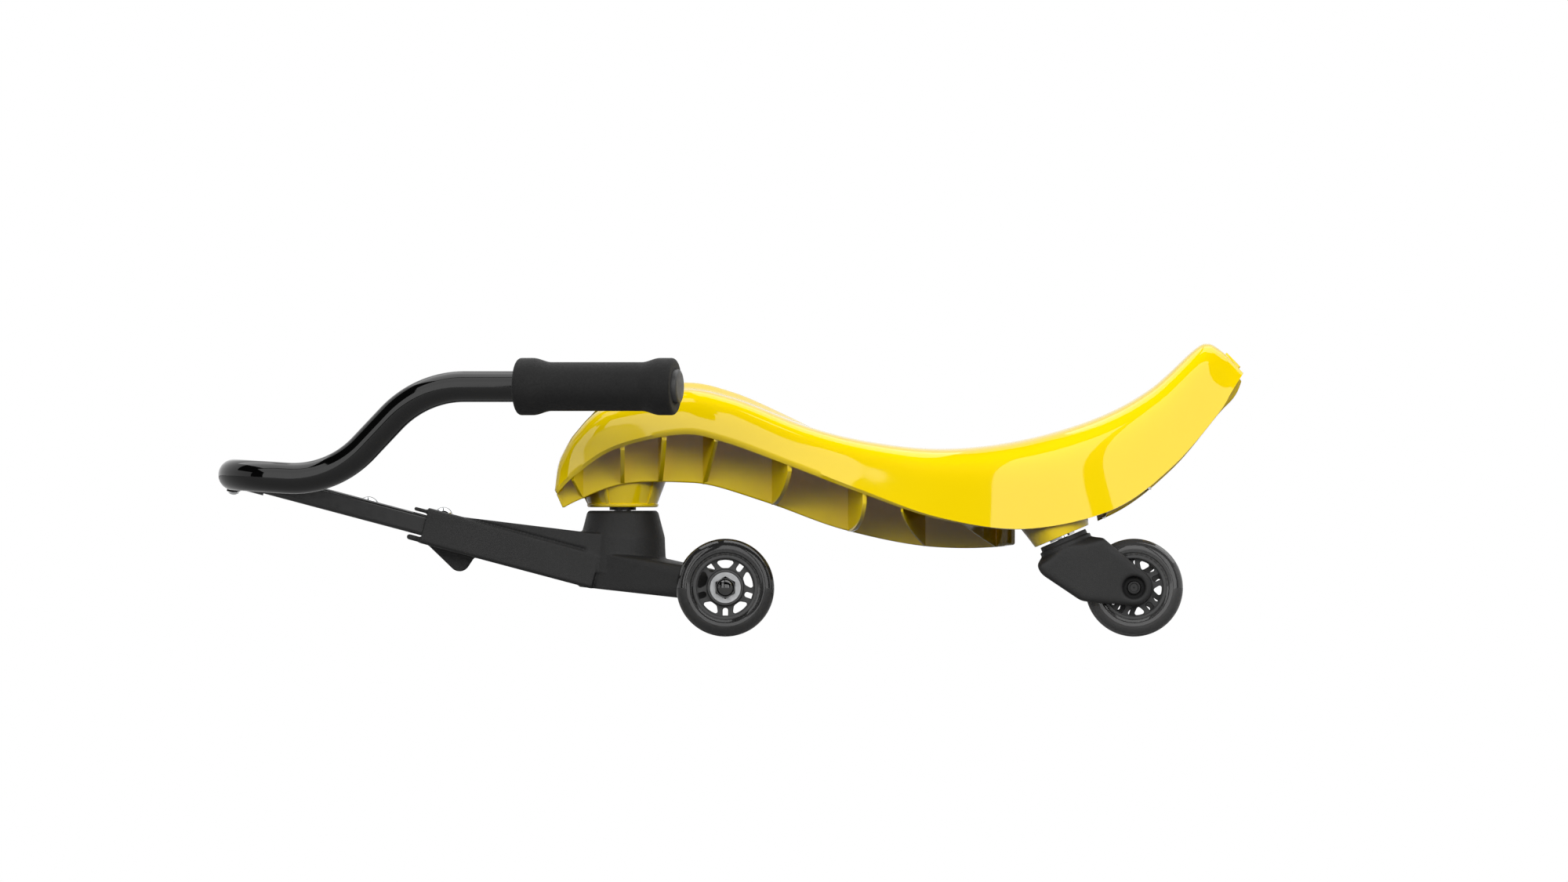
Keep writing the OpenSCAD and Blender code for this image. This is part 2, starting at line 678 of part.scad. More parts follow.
module pivot_insert() {
  color(brass) translate([pivot_x, 0, boss_z]) insert_tube(king_d, king_in);
}

module kingpin() {
  color(steel) translate([pivot_x, 0, 0]) {
    translate([0, 0, king_seat - king_head_h]) cylinder(r = king_af / 2 / cos(30), h = king_head_h, $fn = 6);
    translate([0, 0, king_seat - eps]) cylinder(d = king_d, h = king_end - king_seat + eps);
  }
}

// Flat ring standing on Z = 0
module ring(inside, outside, t) {
  rotate_extrude() translate([inside / 2, 0]) square([(outside - inside) / 2, t]);
}

module pivot_spacer() {
  color(gloss) translate([pivot_x, 0, cone_z + side_gap]) ring(king_d, spacer_d, boss_z - cone_z - side_gap);
}

module pivot_washer() {
  color(steel) translate([pivot_x, 0, king_seat]) ring(king_d, flange_d, king_washer_t);
}

module caster_inserts() {
  color(brass) for (side = [-1, 1])
    at_caster(side) insert_tube(pin_d, insert_l);
}

module caster_bolts() {
  color(steel) for (side = [-1, 1])
    at_caster(side) {
      translate([0, 0, -fork_foot - side_gap - pin_head_h]) cylinder(d = pin_head_d, h = pin_head_h);
      translate([0, 0, -fork_foot - side_gap - eps]) cylinder(d = pin_d, h = fork_foot + side_gap + insert_l);
    }
}

module caster_washers() {
  color(chrome) for (side = [-1, 1])
    at_caster(side) translate([0, 0, -stem_t]) ring(pin_d, stem_d, stem_t);
}

module rounded_rect(h, w, r) {
  square([h - 2 * r, w], center = true);
  square([h, w - 2 * r], center = true);
  for (i = [-1, 1], j = [-1, 1])
    translate([i * (h / 2 - r), j * (w / 2 - r)]) circle(r = r);
}

// Bar of rounded rectangular section between two places along the bar frame
module bar_length(from, to, h, w, r) {
  translate([from, 0, 0]) rotate([0, 90, 0]) linear_extrude(to - from) rounded_rect(h, w, r);
}

module front_frame() {
  color(black) difference() {
    union() {
      frame_cone();
      hull() {
        translate([pivot_x, 0, frame_z]) rotate([0, body_fall, 0])
          cylinder(d = cone_foot_d, h = body_h, $fn = facets);
        translate([front_axle_x, beam_half, axle_z]) rotate([90, 0, 0])
          cylinder(d = beam_d, h = 2 * beam_half, $fn = facets);
      }
      at_bar() {
        bar_length(cavity_end - end_wall, mouth, sleeve_h, sleeve_w, sleeve_round);
        lip(bar_h / 2 + lip_gap, lip_t);
        lip(-bar_h / 2 - lip_gap - low_lip_t, low_lip_t);
        frame_lug();
      }
      frame_gusset();
    }
    translate([pivot_x, 0, 0]) cylinder(d = flange_d + 2 * recess_room, h = recess_top);
    translate([pivot_x, 0, frame_z]) cylinder(d = bush_d, h = cone_z);
    translate([pivot_x, 0, cone_z - flange_t]) cylinder(d = flange_d, h = flange_t + over);
    translate([front_axle_x, beam_half + over, axle_z]) rotate([90, 0, 0])
      cylinder(d = axle_d, h = 2 * (beam_half + over));
    at_bar() {
      translate([cavity_end, -bar_w / 2 - bar_room, -bar_h / 2 - bar_room])
        cube([sleeve_depth + over, bar_w + 2 * bar_room, bar_h + 2 * bar_room]);
      translate([clamp_at, 0, nut_in - sleeve_h / 2]) {
        cylinder(d = clamp_nut_d, h = clamp_nut_h);
        cylinder(d = clamp_d, h = sleeve_h);
      }
      for (side = [-1, 1])
        translate([cavity_end, side * gusset_t / 2, sleeve_h / 2]) rotate([45, 0, 0])
          translate([0, -groove_w / 2, -groove_w / 2]) cube([sleeve_depth - gusset_in, groove_w, groove_w]);
    }
  }
}

// Steering cone, from inside the frame's body to its bevelled top
module frame_cone() {
  foot = frame_z + body_h / 2;
  top = cone_top_d / 2;
  translate([pivot_x, 0, 0]) rotate_extrude()
    polygon([[0, foot], [cone_foot_d / 2, foot], [cone_mid_d / 2, cone_mid_z], [top, cone_z - top_bevel],
      [top - top_bevel, cone_z], [0, cone_z]]);
}

// Lip standing out of the sleeve's mouth, from height z up, with its front edge rounded
module lip(z, t) {
  translate([mouth - lip_root, -lip_w / 2, z]) cube([lip_root + lip_l - t / 2, lip_w, t]);
  translate([mouth + lip_l - t / 2, lip_w / 2, z + t / 2]) rotate([90, 0, 0]) cylinder(d = t, h = lip_w);
}

// Round-tipped lug under the sleeve that stops the toy from pitching forward
module frame_lug() {
  translate([0, lug_t / 2, -sleeve_h / 2]) rotate([90, 0, 0]) linear_extrude(lug_t)
    hull() {
      translate([mouth - lug_tip, lug_r - lug_h]) circle(r = lug_r, $fn = 48);
      translate([mouth - lug_in - lug_l, 0]) square([lug_l, sleeve_round]);
    }
}

// Upright web between the sleeve's top and the cone
module frame_gusset() {
  front_x = pivot_x - (mouth - gusset_in) * cos(bar_slope);
  front_z = bar_z + (mouth - gusset_in) * sin(bar_slope);
  translate([0, gusset_t / 2, 0]) rotate([90, 0, 0]) linear_extrude(gusset_t)
    polygon([[front_x, front_z + sleeve_h / 2], [pivot_x - gusset_end, cone_z - gusset_drop],
      [pivot_x, cone_z - gusset_drop], [pivot_x, bar_z], [front_x, front_z]]);
}

module bush() {
  ring(king_d + 2 * run_fit, flange_d, flange_t);
  ring(king_d + 2 * run_fit, bush_d, flange_t + bush_l);
}

module pivot_bushes() {
  color(steel) translate([pivot_x, 0, 0]) {
    translate([0, 0, recess_top - flange_t]) bush();
    translate([0, 0, cone_z]) mirror([0, 0, 1]) bush();
  }
}

module front_axle() {
  color(steel) translate([front_axle_x, axle_end, axle_z]) rotate([90, 0, 0])
    cylinder(d = axle_d, h = 2 * axle_end);
}

// Cap nut on its face, bored for the axle
module cap_nut() {
  difference() {
    union() {
      cylinder(r = nut_r, h = nut_h, $fn = 6);
      translate([0, 0, nut_h]) intersection() {
        sphere(d = nut_af - over);
        translate([-nut_af, -nut_af, -over]) cube([2 * nut_af, 2 * nut_af, nut_af]);
      }
    }
    translate([0, 0, -over]) cylinder(d = axle_d, h = nut_h + over);
  }
}

module axle_nuts() {
  color(chrome) for (side = [-1, 1])
    translate([front_axle_x, side * (axle_end - nut_h), axle_z]) rotate([-90 * side, 0, 0]) cap_nut();
}

module axle_washers() {
  color(steel) for (side = [-1, 1])
    translate([front_axle_x, side * beam_half, axle_z]) rotate([-90 * side, 0, 0])
      ring(axle_d, washer_d, washer_t);
}

// Shallow domed screw head standing on Z = 0
module dome(d, h) {
  r = (d * d / 4 + h * h) / (2 * h);
  intersection() {
    translate([0, 0, h - r]) sphere(r = r);
    cylinder(d = d, h = h);
  }
}

module clamp_bolt() {
  color(chrome) at_bar() translate([clamp_at, 0, 0]) {
    translate([0, 0, sleeve_h / 2]) dome(clamp_head_d, clamp_head_h);
    translate([0, 0, nut_in - sleeve_h / 2]) cylinder(d = clamp_d, h = sleeve_h - nut_in + eps);
  }
}

module clamp_nut() {
  color(steel) at_bar() translate([clamp_at, 0, nut_in - sleeve_h / 2])
    ring(clamp_d, clamp_nut_d, clamp_nut_h);
}

// Inside of the bar between two places along it
module bar_bore(from, to) {
  bar_length(from, to, bar_h - 2 * bar_wall, bar_w - 2 * bar_wall, bar_round - bar_wall);
}

module extension_bar() {
  color(gloss) at_bar() difference() {
    bar_length(bar_start, reach, bar_h, bar_w, bar_round);
    bar_bore(bar_start - over, reach + over);
    translate([reach, bar_w, 0]) rotate([90, 0, 0]) cylinder(d = tube_d, h = 2 * bar_w);
    for (x = [clamp_at - travel_out, clamp_at + travel_in])
      translate([x, 0, -bar_h]) cylinder(d = slot_d, h = 2 * bar_h);
    translate([clamp_at - travel_out, -slot_d / 2, -bar_h]) cube([travel_in + travel_out, slot_d, 2 * bar_h]);
    translate([stop_at, 0, 0]) cylinder(d = clamp_d, h = bar_h);
  }
}

module bar_glide() {
  color(black) at_bar() {
    bar_length(bar_start - glide_t, bar_start, bar_h, bar_w, bar_round);
    bar_bore(bar_start - eps, bar_start + glide_in);
  }
}

module stop_screw() {
  color(chrome) at_bar() translate([stop_at, 0, 0]) {
    translate([0, 0, bar_h / 2]) dome(stop_head_d, stop_head_h);
    translate([0, 0, bar_h / 2 - stop_l]) cylinder(d = clamp_d, h = stop_l + eps);
  }
}

module saddle() {
  color(black) difference() {
    at_bar() difference() {
      union() {
        bar_length(reach - saddle_l, reach, bar_h + 2 * saddle_t, saddle_w, bar_round + saddle_t);
        intersection() {
          translate([reach, saddle_w / 2, 0]) rotate([90, 0, 0])
            cylinder(d = tube_d + 2 * saddle_t, h = saddle_w);
          translate([reach - tube_d, -saddle_w / 2, -tube_d]) cube([tube_d + strap_past, saddle_w, tube_d]);
        }
      }
      translate([reach, saddle_w, 0]) rotate([90, 0, 0]) cylinder(d = tube_d, h = 2 * saddle_w);
      bar_length(reach - saddle_l - over, reach, bar_h, bar_w, bar_round);
    }
    at_saddle_bolts() cylinder(d = saddle_bolt_d, h = tube_d);
  }
}

// Places of the two bolts under the crossbar, on its middle line and pointing up
module at_saddle_bolts() {
  for (side = [-1, 1])
    translate([cross_x, side * saddle_bolt_half, cross_z - tube_d]) children();
}

module saddle_bolts() {
  color(chrome) at_saddle_bolts() {
    translate([0, 0, tube_d / 2 - saddle_t]) mirror([0, 0, 1]) dome(dome_d, dome_h);
    translate([0, 0, tube_d / 2 - saddle_t - eps]) cylinder(d = saddle_bolt_d, h = saddle_t + saddle_bolt_in);
  }
}

// Tube pieces that follow each other: each draws itself and places its children at its end.
// The wall is a little thinner in the bends than in the straights.
module tube_ring(thin) {
  difference() {
    circle(d = tube_d - 2 * thin);
    circle(d = tube_d - 2 * tube_wall + 2 * thin);
  }
}

module straight(l) {
  translate([0, 0, -eps]) linear_extrude(l + 2 * eps) tube_ring(0);
  translate([0, 0, l]) children();
}

module bend(r, a) {
  translate([r, 0, 0]) rotate([90, 0, 180]) rotate_extrude(angle = a)
    translate([r, 0]) tube_ring(bend_thin);
  past_bend(r, a) children();
}

module past_bend(r, a) {
  translate([r * (1 - cos(a)), 0, r * sin(a)]) rotate([0, a, 0]) children();
}

module roll(a) {
  rotate([0, 0, a]) children();
}

// Middle of the crossbar, with local Z out along it and local X to the rear
module at_cross(side) {
  translate([cross_x, 0, cross_z]) mirror([0, side > 0 ? 1 : 0, 0])
    rotate([0, arm_fall, 0]) rotate([90, 0, 0]) children();
}

// Start of the straight tube behind the upper bend, with local Z along it
module at_top_run(side) {
  at_cross(side) translate([0, 0, cross_half]) past_bend(corner_r, corner_a)
    translate([0, 0, arm_l]) roll(90) past_bend(low_r, climb + arm_pitch)
      translate([0, 0, mid_l]) roll(180) past_bend(high_r, climb) children();
}

module handlebar() {
  color(gloss) difference() {
    union() {
      at_cross(-1) translate([0, 0, -cross_half]) straight(2 * cross_half);
      for (side = [-1, 1])
        at_cross(side) translate([0, 0, cross_half]) bend(corner_r, corner_a) straight(arm_l)
          roll(90) bend(low_r, climb + arm_pitch) straight(mid_l)
            roll(180) bend(high_r, climb) straight(top_l);
    }
    at_saddle_bolts() cylinder(d = saddle_bolt_d, h = tube_d);
  }
}

module at_grip(side) {
  at_top_run(side) translate([0, 0, top_l - grip_l + grip_cover]) children();
}

// Sleeve grip from its front end at Z = 0: a round bead at each end, run out to the body in cones
module grip() {
  inner = tube_d / 2;
  body = grip_d / 2;
  bead = grip_flange_d / 2;
  rotate_extrude() {
    difference() {
      union() {
        polygon([[inner, 0], [bead - bead_r, 0], [bead, bead_r], [bead, bead_l], [body, bead_l + cone_l],
          [body, grip_l - bead_l - cone_l], [bead, grip_l - bead_l], [bead, grip_l - bead_r],
          [bead - bead_r, grip_l], [inner, grip_l]]);
        translate([bead - bead_r, bead_r]) circle(r = bead_r);
        translate([bead - bead_r, grip_l - bead_r]) circle(r = bead_r);
      }
      translate([0, grip_l - grip_cover]) square([plug_d / 2, grip_cover + over]);
    }
  }
}

module grip_left() {
  color(rubber) at_grip(-1) grip();
}

module grip_right() {
  color(rubber) at_grip(1) grip();
}

// Plug in the tube's end, its head filling the hole in the grip's end
module grip_plug() {
  translate([0, 0, grip_l - grip_cover]) cylinder(d = plug_d, h = grip_cover + plug_out);
  translate([0, 0, grip_l - grip_cover - plug_in]) cylinder(d = tube_d - 2 * tube_wall, h = plug_in + eps);
}

module grip_plug_left() {
  color(black) at_grip(-1) grip_plug();
}

module grip_plug_right() {
  color(black) at_grip(1) grip_plug();
}

module tyre() {
  flat = wheel_w - 2 * tyre_round;
  rotate_extrude() difference() {
    union() {
      translate([hub_d / 2, -wheel_w / 2]) square([wheel_d / 2 - tyre_round - hub_d / 2, wheel_w]);
      translate([hub_d / 2, -flat / 2]) square([(wheel_d - hub_d) / 2, flat]);
      for (s = [-1, 1])
        translate([wheel_d / 2 - tyre_round, s * flat / 2]) circle(r = tyre_round);
    }
    translate([0, -wheel_w]) square([hub_d / 2, 2 * wheel_w]);
  }
}

// Hub with a bearing seat in each face and two kinds of openings around it
module hub() {
  difference() {
    union() {
      rotate_extrude() translate([hub_d / 2 - rim_t, -hub_w / 2]) square([rim_t, hub_w]);
      cylinder(d = boss_d, h = hub_w, center = true);
      cylinder(d = hub_d - rim_t, h = web_t, center = true);
    }
    cylinder(d = 2 * (spacer_r + spacer_t / 2), h = hub_w + over, center = true);
    for (s = [0, 1])
      mirror([0, 0, s]) translate([0, 0, hub_w / 2 - bearing_w])
        cylinder(d = bearing_d, h = bearing_w + over);
    for (k = [0:spokes - 1])
      rotate([0, 0, 90 + 360 / spokes * k]) {
        translate([oval_mid, 0, 0]) oblong(oval_h, oval_w);
        rotate([0, 0, 180 / spokes]) translate([oval_mid, 0, 0])
          rotate([0, 0, 90]) oblong(slot_w, slot_h);
      }
  }
}

// Through cut with round ends, its length along Y
module oblong(d, l) {
  cube([d, l - d, hub_w + over], center = true);
  for (s = [-1, 1])
    translate([0, s * (l - d) / 2, 0]) cylinder(d = d, h = hub_w + over, center = true);
}

// Bearing between Z = 0 and its width, with a shield set back in each face
module bearing(bore) {
  rotate_extrude() difference() {
    translate([bore / 2 + run_fit, 0]) square([(bearing_d - bore) / 2 - run_fit, bearing_w]);
    for (z = [shield_in - over, bearing_w - shield_in])
      translate([bore / 2 + spacer_t, z]) square([(bearing_d - bore) / 2 - spacer_t - race_t, over]);
  }
}

module bearing_pair() {
  for (s = [0, 1])
    mirror([0, 0, s]) translate([0, 0, hub_w / 2 - bearing_w]) bearing(axle_d);
}

// Tube that keeps the two bearings of a hub apart
module bearing_spacer() {
  l = hub_w - 2 * bearing_w;
  translate([0, 0, -l / 2]) ring(axle_d + 2 * run_fit, 2 * spacer_r, l);
}

module front_tyre_left() {
  color(smoke) at_front_wheel(-1) tyre();
}

module front_hub_left() {
  color(black) at_front_wheel(-1) hub();
}

module front_bearings_left() {
  color(steel) at_front_wheel(-1) bearing_pair();
}

module front_spacer_left() {
  color(steel) at_front_wheel(-1) bearing_spacer();
}

module front_tyre_right() {
  color(smoke) at_front_wheel(1) tyre();
}

module front_hub_right() {
  color(black) at_front_wheel(1) hub();
}

module front_bearings_right() {
  color(steel) at_front_wheel(1) bearing_pair();
}

module front_spacer_right() {
  color(steel) at_front_wheel(1) bearing_spacer();
}

// Disc across the fork with rounded rims, for its outline: place and radius in one list
module fork_disc(p) {
  translate([p[0], 0, p[1]]) rotate([90, 0, 0])
    for (a = [0, 45, 90])
      cylinder(r = p[2] - fork_round * (1 - cos(a)), h = 2 * (fork_half - fork_round * (1 - sin(a))),
        center = true, $fn = facets);
}

module fork() {
  difference() {
    union() {
      hull() {
        fork_disc([caster_offset, -caster_drop, cheek_r]);
        fork_disc(heel);
        fork_disc(front_shoulder);
        fork_disc(rear_shoulder);
      }
      translate([0, 0, -fork_foot]) cylinder(d = collar_d, h = fork_foot - head_gap);
      translate([0, 0, -fork_foot]) cylinder(d = collar_low_d, h = fork_foot - head_gap - collar_h);
    }
    translate([caster_offset, 0, -caster_drop]) rotate([90, 0, 0]) {
      cylinder(r = slot_r, h = fork_gap, center = true);
      cylinder(d = bolt_d, h = 2 * (fork_half + over), center = true);
      for (s = [0, 1])
        mirror([0, 0, s]) translate([0, 0, fork_half - cap_in]) cylinder(r = cap_r, h = cap_in + over);
    }
    translate([0, -fork_gap / 2, -caster_drop - slot_r]) {
      cube([caster_offset, fork_gap, slot_r]);
      translate([caster_offset, 0, 0]) cube([slot_r, fork_gap, slot_r + crown_rise]);
    }
    translate([0, 0, -head_gap - bearing_w]) cylinder(d = bearing_d, h = bearing_w + over);
    translate([0, 0, -fork_foot]) cylinder(d = bearing_d, h = bearing_w);
    translate([0, 0, -caster_drop]) cylinder(d = pin_head_d + 2 * pin_room, h = caster_drop);
  }
}

module fork_bearings() {
  translate([0, 0, -head_gap - bearing_w]) bearing(pin_d);
  translate([0, 0, -fork_foot]) bearing(pin_d);
}

// Two stepped sleeves that almost meet in the middle of the wheel and carry its bearings
module rear_sleeves() {
  shoulder = hub_w / 2 + side_gap;
  for (s = [0, 1])
    mirror([0, 0, s]) {
      translate([0, 0, sleeve_split / 2]) ring(bolt_d, axle_d, fork_gap / 2 - sleeve_split / 2);
      translate([0, 0, shoulder]) ring(bolt_d, washer_d, fork_gap / 2 - shoulder);
    }
}

// Socket-head bolt through both cheeks, its head in the outer cheek's recess
module rear_bolt() {
  translate([0, 0, fork_half - cap_in]) difference() {
    cylinder(d = head_d, h = cap_in - cap_low);
    translate([0, 0, cap_in - cap_low - bolt_d / 2]) cylinder(d = bolt_d, h = bolt_d, $fn = 6);
  }
  translate([0, 0, cap_low - fork_half]) cylinder(d = bolt_d, h = 2 * fork_half - cap_in - cap_low + eps);
}

module rear_nut() {
  translate([0, 0, cap_low - fork_half]) difference() {
    cylinder(r = head_d / 2 / cos(30), h = cap_in - cap_low, $fn = 6);
    translate([0, 0, -over]) cylinder(d = bolt_d, h = cap_in + over);
  }
}

module fork_left() {
  color(black) at_caster(-1) fork();
}

module fork_bearings_left() {
  color(steel) at_caster(-1) fork_bearings();
}

module rear_sleeves_left() {
  color(steel) at_rear_wheel(-1) rear_sleeves();
}

module rear_bolt_left() {
  color(steel) at_rear_wheel(-1) rear_bolt();
}

module rear_nut_left() {
  color(steel) at_rear_wheel(-1) rear_nut();
}

module rear_tyre_left() {
  color(smoke) at_rear_wheel(-1) tyre();
}

module rear_hub_left() {
  color(black) at_rear_wheel(-1) rotate([0, 0, rear_turn]) hub();
}

module rear_bearings_left() {
  color(steel) at_rear_wheel(-1) bearing_pair();
}

module fork_right() {
  color(black) at_caster(1) fork();
}

module fork_bearings_right() {
  color(steel) at_caster(1) fork_bearings();
}

module rear_sleeves_right() {
  color(steel) at_rear_wheel(1) rear_sleeves();
}

module rear_bolt_right() {
  color(steel) at_rear_wheel(1) mirror([0, 0, 1]) rear_bolt();
}

module rear_nut_right() {
  color(steel) at_rear_wheel(1) mirror([0, 0, 1]) rear_nut();
}

module rear_tyre_right() {
  color(smoke) at_rear_wheel(1) tyre();
}

module rear_hub_right() {
  color(black) at_rear_wheel(1) rotate([0, 0, rear_turn + rear_stagger]) hub();
}

module rear_bearings_right() {
  color(steel) at_rear_wheel(1) bearing_pair();
}

seat_shell();
pivot_insert();
kingpin();
pivot_spacer();
pivot_washer();
caster_inserts();
caster_bolts();
caster_washers();
front_frame();
pivot_bushes();
front_axle();
axle_nuts();
axle_washers();
clamp_bolt();
clamp_nut();
extension_bar();
bar_glide();
stop_screw();
saddle();
saddle_bolts();
handlebar();
grip_left();
grip_right();
grip_plug_left();
grip_plug_right();
front_tyre_left();
front_hub_left();
front_bearings_left();
front_spacer_left();
front_tyre_right();
front_hub_right();
front_bearings_right();
front_spacer_right();
fork_left();
fork_bearings_left();
rear_sleeves_left();
rear_bolt_left();
rear_nut_left();
rear_tyre_left();
rear_hub_left();
rear_bearings_left();
fork_right();
fork_bearings_right();
rear_sleeves_right();
rear_bolt_right();
rear_nut_right();
rear_tyre_right();
rear_hub_right();
rear_bearings_right();
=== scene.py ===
"""Dressed wiggle ride-on: ribbed seat, steered front frame, handlebar, wheels and casters.

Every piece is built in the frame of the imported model. Sizes in the classes are
millimetres, with X to the rear, Y to the rider's right and Z up from the floor.
"""

import logging
import math
from dataclasses import dataclass, field
from enum import Enum
from typing import Sequence

import bmesh
import bpy
import numpy as np
from mathutils import Matrix, Vector
from mathutils.geometry import delaunay_2d_cdt

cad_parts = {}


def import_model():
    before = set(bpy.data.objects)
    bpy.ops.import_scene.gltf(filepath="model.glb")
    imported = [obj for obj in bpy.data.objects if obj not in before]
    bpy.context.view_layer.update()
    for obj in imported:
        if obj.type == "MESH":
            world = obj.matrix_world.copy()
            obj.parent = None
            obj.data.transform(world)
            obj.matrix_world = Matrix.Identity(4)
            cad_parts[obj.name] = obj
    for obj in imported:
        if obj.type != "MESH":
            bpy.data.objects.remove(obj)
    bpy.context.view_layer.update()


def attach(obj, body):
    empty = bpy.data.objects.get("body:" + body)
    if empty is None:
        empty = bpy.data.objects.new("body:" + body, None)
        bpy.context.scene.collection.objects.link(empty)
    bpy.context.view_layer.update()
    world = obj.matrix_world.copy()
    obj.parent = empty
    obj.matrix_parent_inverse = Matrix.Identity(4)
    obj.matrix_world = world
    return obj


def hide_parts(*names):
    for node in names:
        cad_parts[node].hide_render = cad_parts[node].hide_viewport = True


LOG = logging.getLogger("ride_on")
MM = 0.001
WELD = 1e-6
NOISE_SPAN = (0.3, 0.7)
Colour = tuple[float, float, float]
Point = tuple[float, float, float]
Profile = list[tuple[float, float]]
Line = tuple[tuple[float, float], ...]
Object = bpy.types.Object
Socket = bpy.types.NodeSocket

# Places as X, distance from the middle plane, and Z; the trail leads from a caster's top to its axle.
FRONT_AXLE = (-3.8, 92.0, 35.0)
REAR_AXLE = (288.1, 70.0, 35.0)
CASTER = (236.624, 70.0, 71.813)
CASTER_TILT = 23.0
TRAIL = (33.0, 0.0, -54.0)
# Slot of the seat's underside. It has a rougher satin finish, and its much darker yellow is painted
# shade.
SATIN_PAINTED_SHADE_SLOT = 1


class Side(Enum):
    """Rider's left and right, with the sign of Y."""

    LEFT = -1
    RIGHT = 1

    @property
    def label(self) -> str:
        """Word used in the names of nodes and bodies."""
        return self.name.lower()


class Body(Enum):
    """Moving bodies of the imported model."""

    SEAT = "seat"
    FRONT_FRAME = "front_frame"
    HANDLEBAR = "handlebar"
    FRONT_WHEEL = "front_wheel"
    REAR_WHEEL = "rear_wheel"
    CASTER = "caster"

    def on(self, side: Side) -> str:
        """Name of the body of this kind on one side."""
        return f"{self.value}_{side.label}"


class Axle(Enum):
    """Front and rear, as in the names of wheels and bearings."""

    FRONT = "front"
    REAR = "rear"


REAR_TURN = {Side.LEFT: 17.5, Side.RIGHT: 32.5}


class Slot(Enum):
    """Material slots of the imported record."""

    SEAT = "seat"
    FRAME = "frame"
    TUBE = "tube"
    GRIP = "grip"
    TYRE = "tyre"
    HUB = "hub"
    BRIGHT = "bright"
    STEEL = "steel"


def shift(x: float, y: float, z: float) -> np.ndarray:
    """Placement that moves by x, y and z."""
    return np.array(Matrix.Translation((x, y, z)))


def turn(axis: str, degrees: float) -> np.ndarray:
    """Placement that turns about an axis through the origin."""
    return np.array(Matrix.Rotation(math.radians(degrees), 4, axis))


def placed(points: np.ndarray, place: np.ndarray) -> np.ndarray:
    """Points after a placement."""
    return points @ place[:3, :3].T + place[:3, 3]


def full_turn(steps: int) -> np.ndarray:
    """Even angles around a circle, in radians."""
    return np.linspace(0, 2 * math.pi, steps, endpoint=False)


def caster_foot(side: Side) -> np.ndarray:
    """Placement of a caster's top, with local Z along its swivel axis."""
    x, y, z = CASTER
    return shift(x, side.value * y, z) @ turn("Y", -CASTER_TILT)


def mirrored(half: Sequence[Point]) -> list[Point]:
    """Closed outline of rounded corners from its upper half."""
    return [*half, *((x, -y, radius) for x, y, radius in reversed(half))]


def rounded(corners: Sequence[Point], steps: int = 5) -> Profile:
    """Rounds the corners of a closed outline.

    Args:
        corners: x, y and radius of each corner, in order.
        steps: arc steps at each rounded corner.

    Returns:
        The outline's points.
    """
    outline: Profile = []
    count = len(corners)
    for i, (x, y, radius) in enumerate(corners):
        here = np.array((x, y))
        back = np.array(corners[i - 1][:2]) - here
        ahead = np.array(corners[(i + 1) % count][:2]) - here
        back /= np.linalg.norm(back)
        ahead /= np.linalg.norm(ahead)
        half = math.acos(float(np.clip(back @ ahead, -1, 1))) / 2
        if radius <= 0 or abs(half - math.pi / 2) < 1e-4:
            outline.append((x, y))
            continue
        middle = back + ahead
        centre = here + middle / np.linalg.norm(middle) * radius / math.sin(half)
        first = here + back * radius / math.tan(half) - centre
        last = here + ahead * radius / math.tan(half) - centre
        sweep = math.atan2(first[0] * last[1] - first[1] * last[0], first @ last)
        for k in range(steps + 1):
            a = sweep * k / steps
            spin = np.array(((math.cos(a), -math.sin(a)), (math.sin(a), math.cos(a))))
            outline.append(tuple(centre + spin @ first))
    return outline


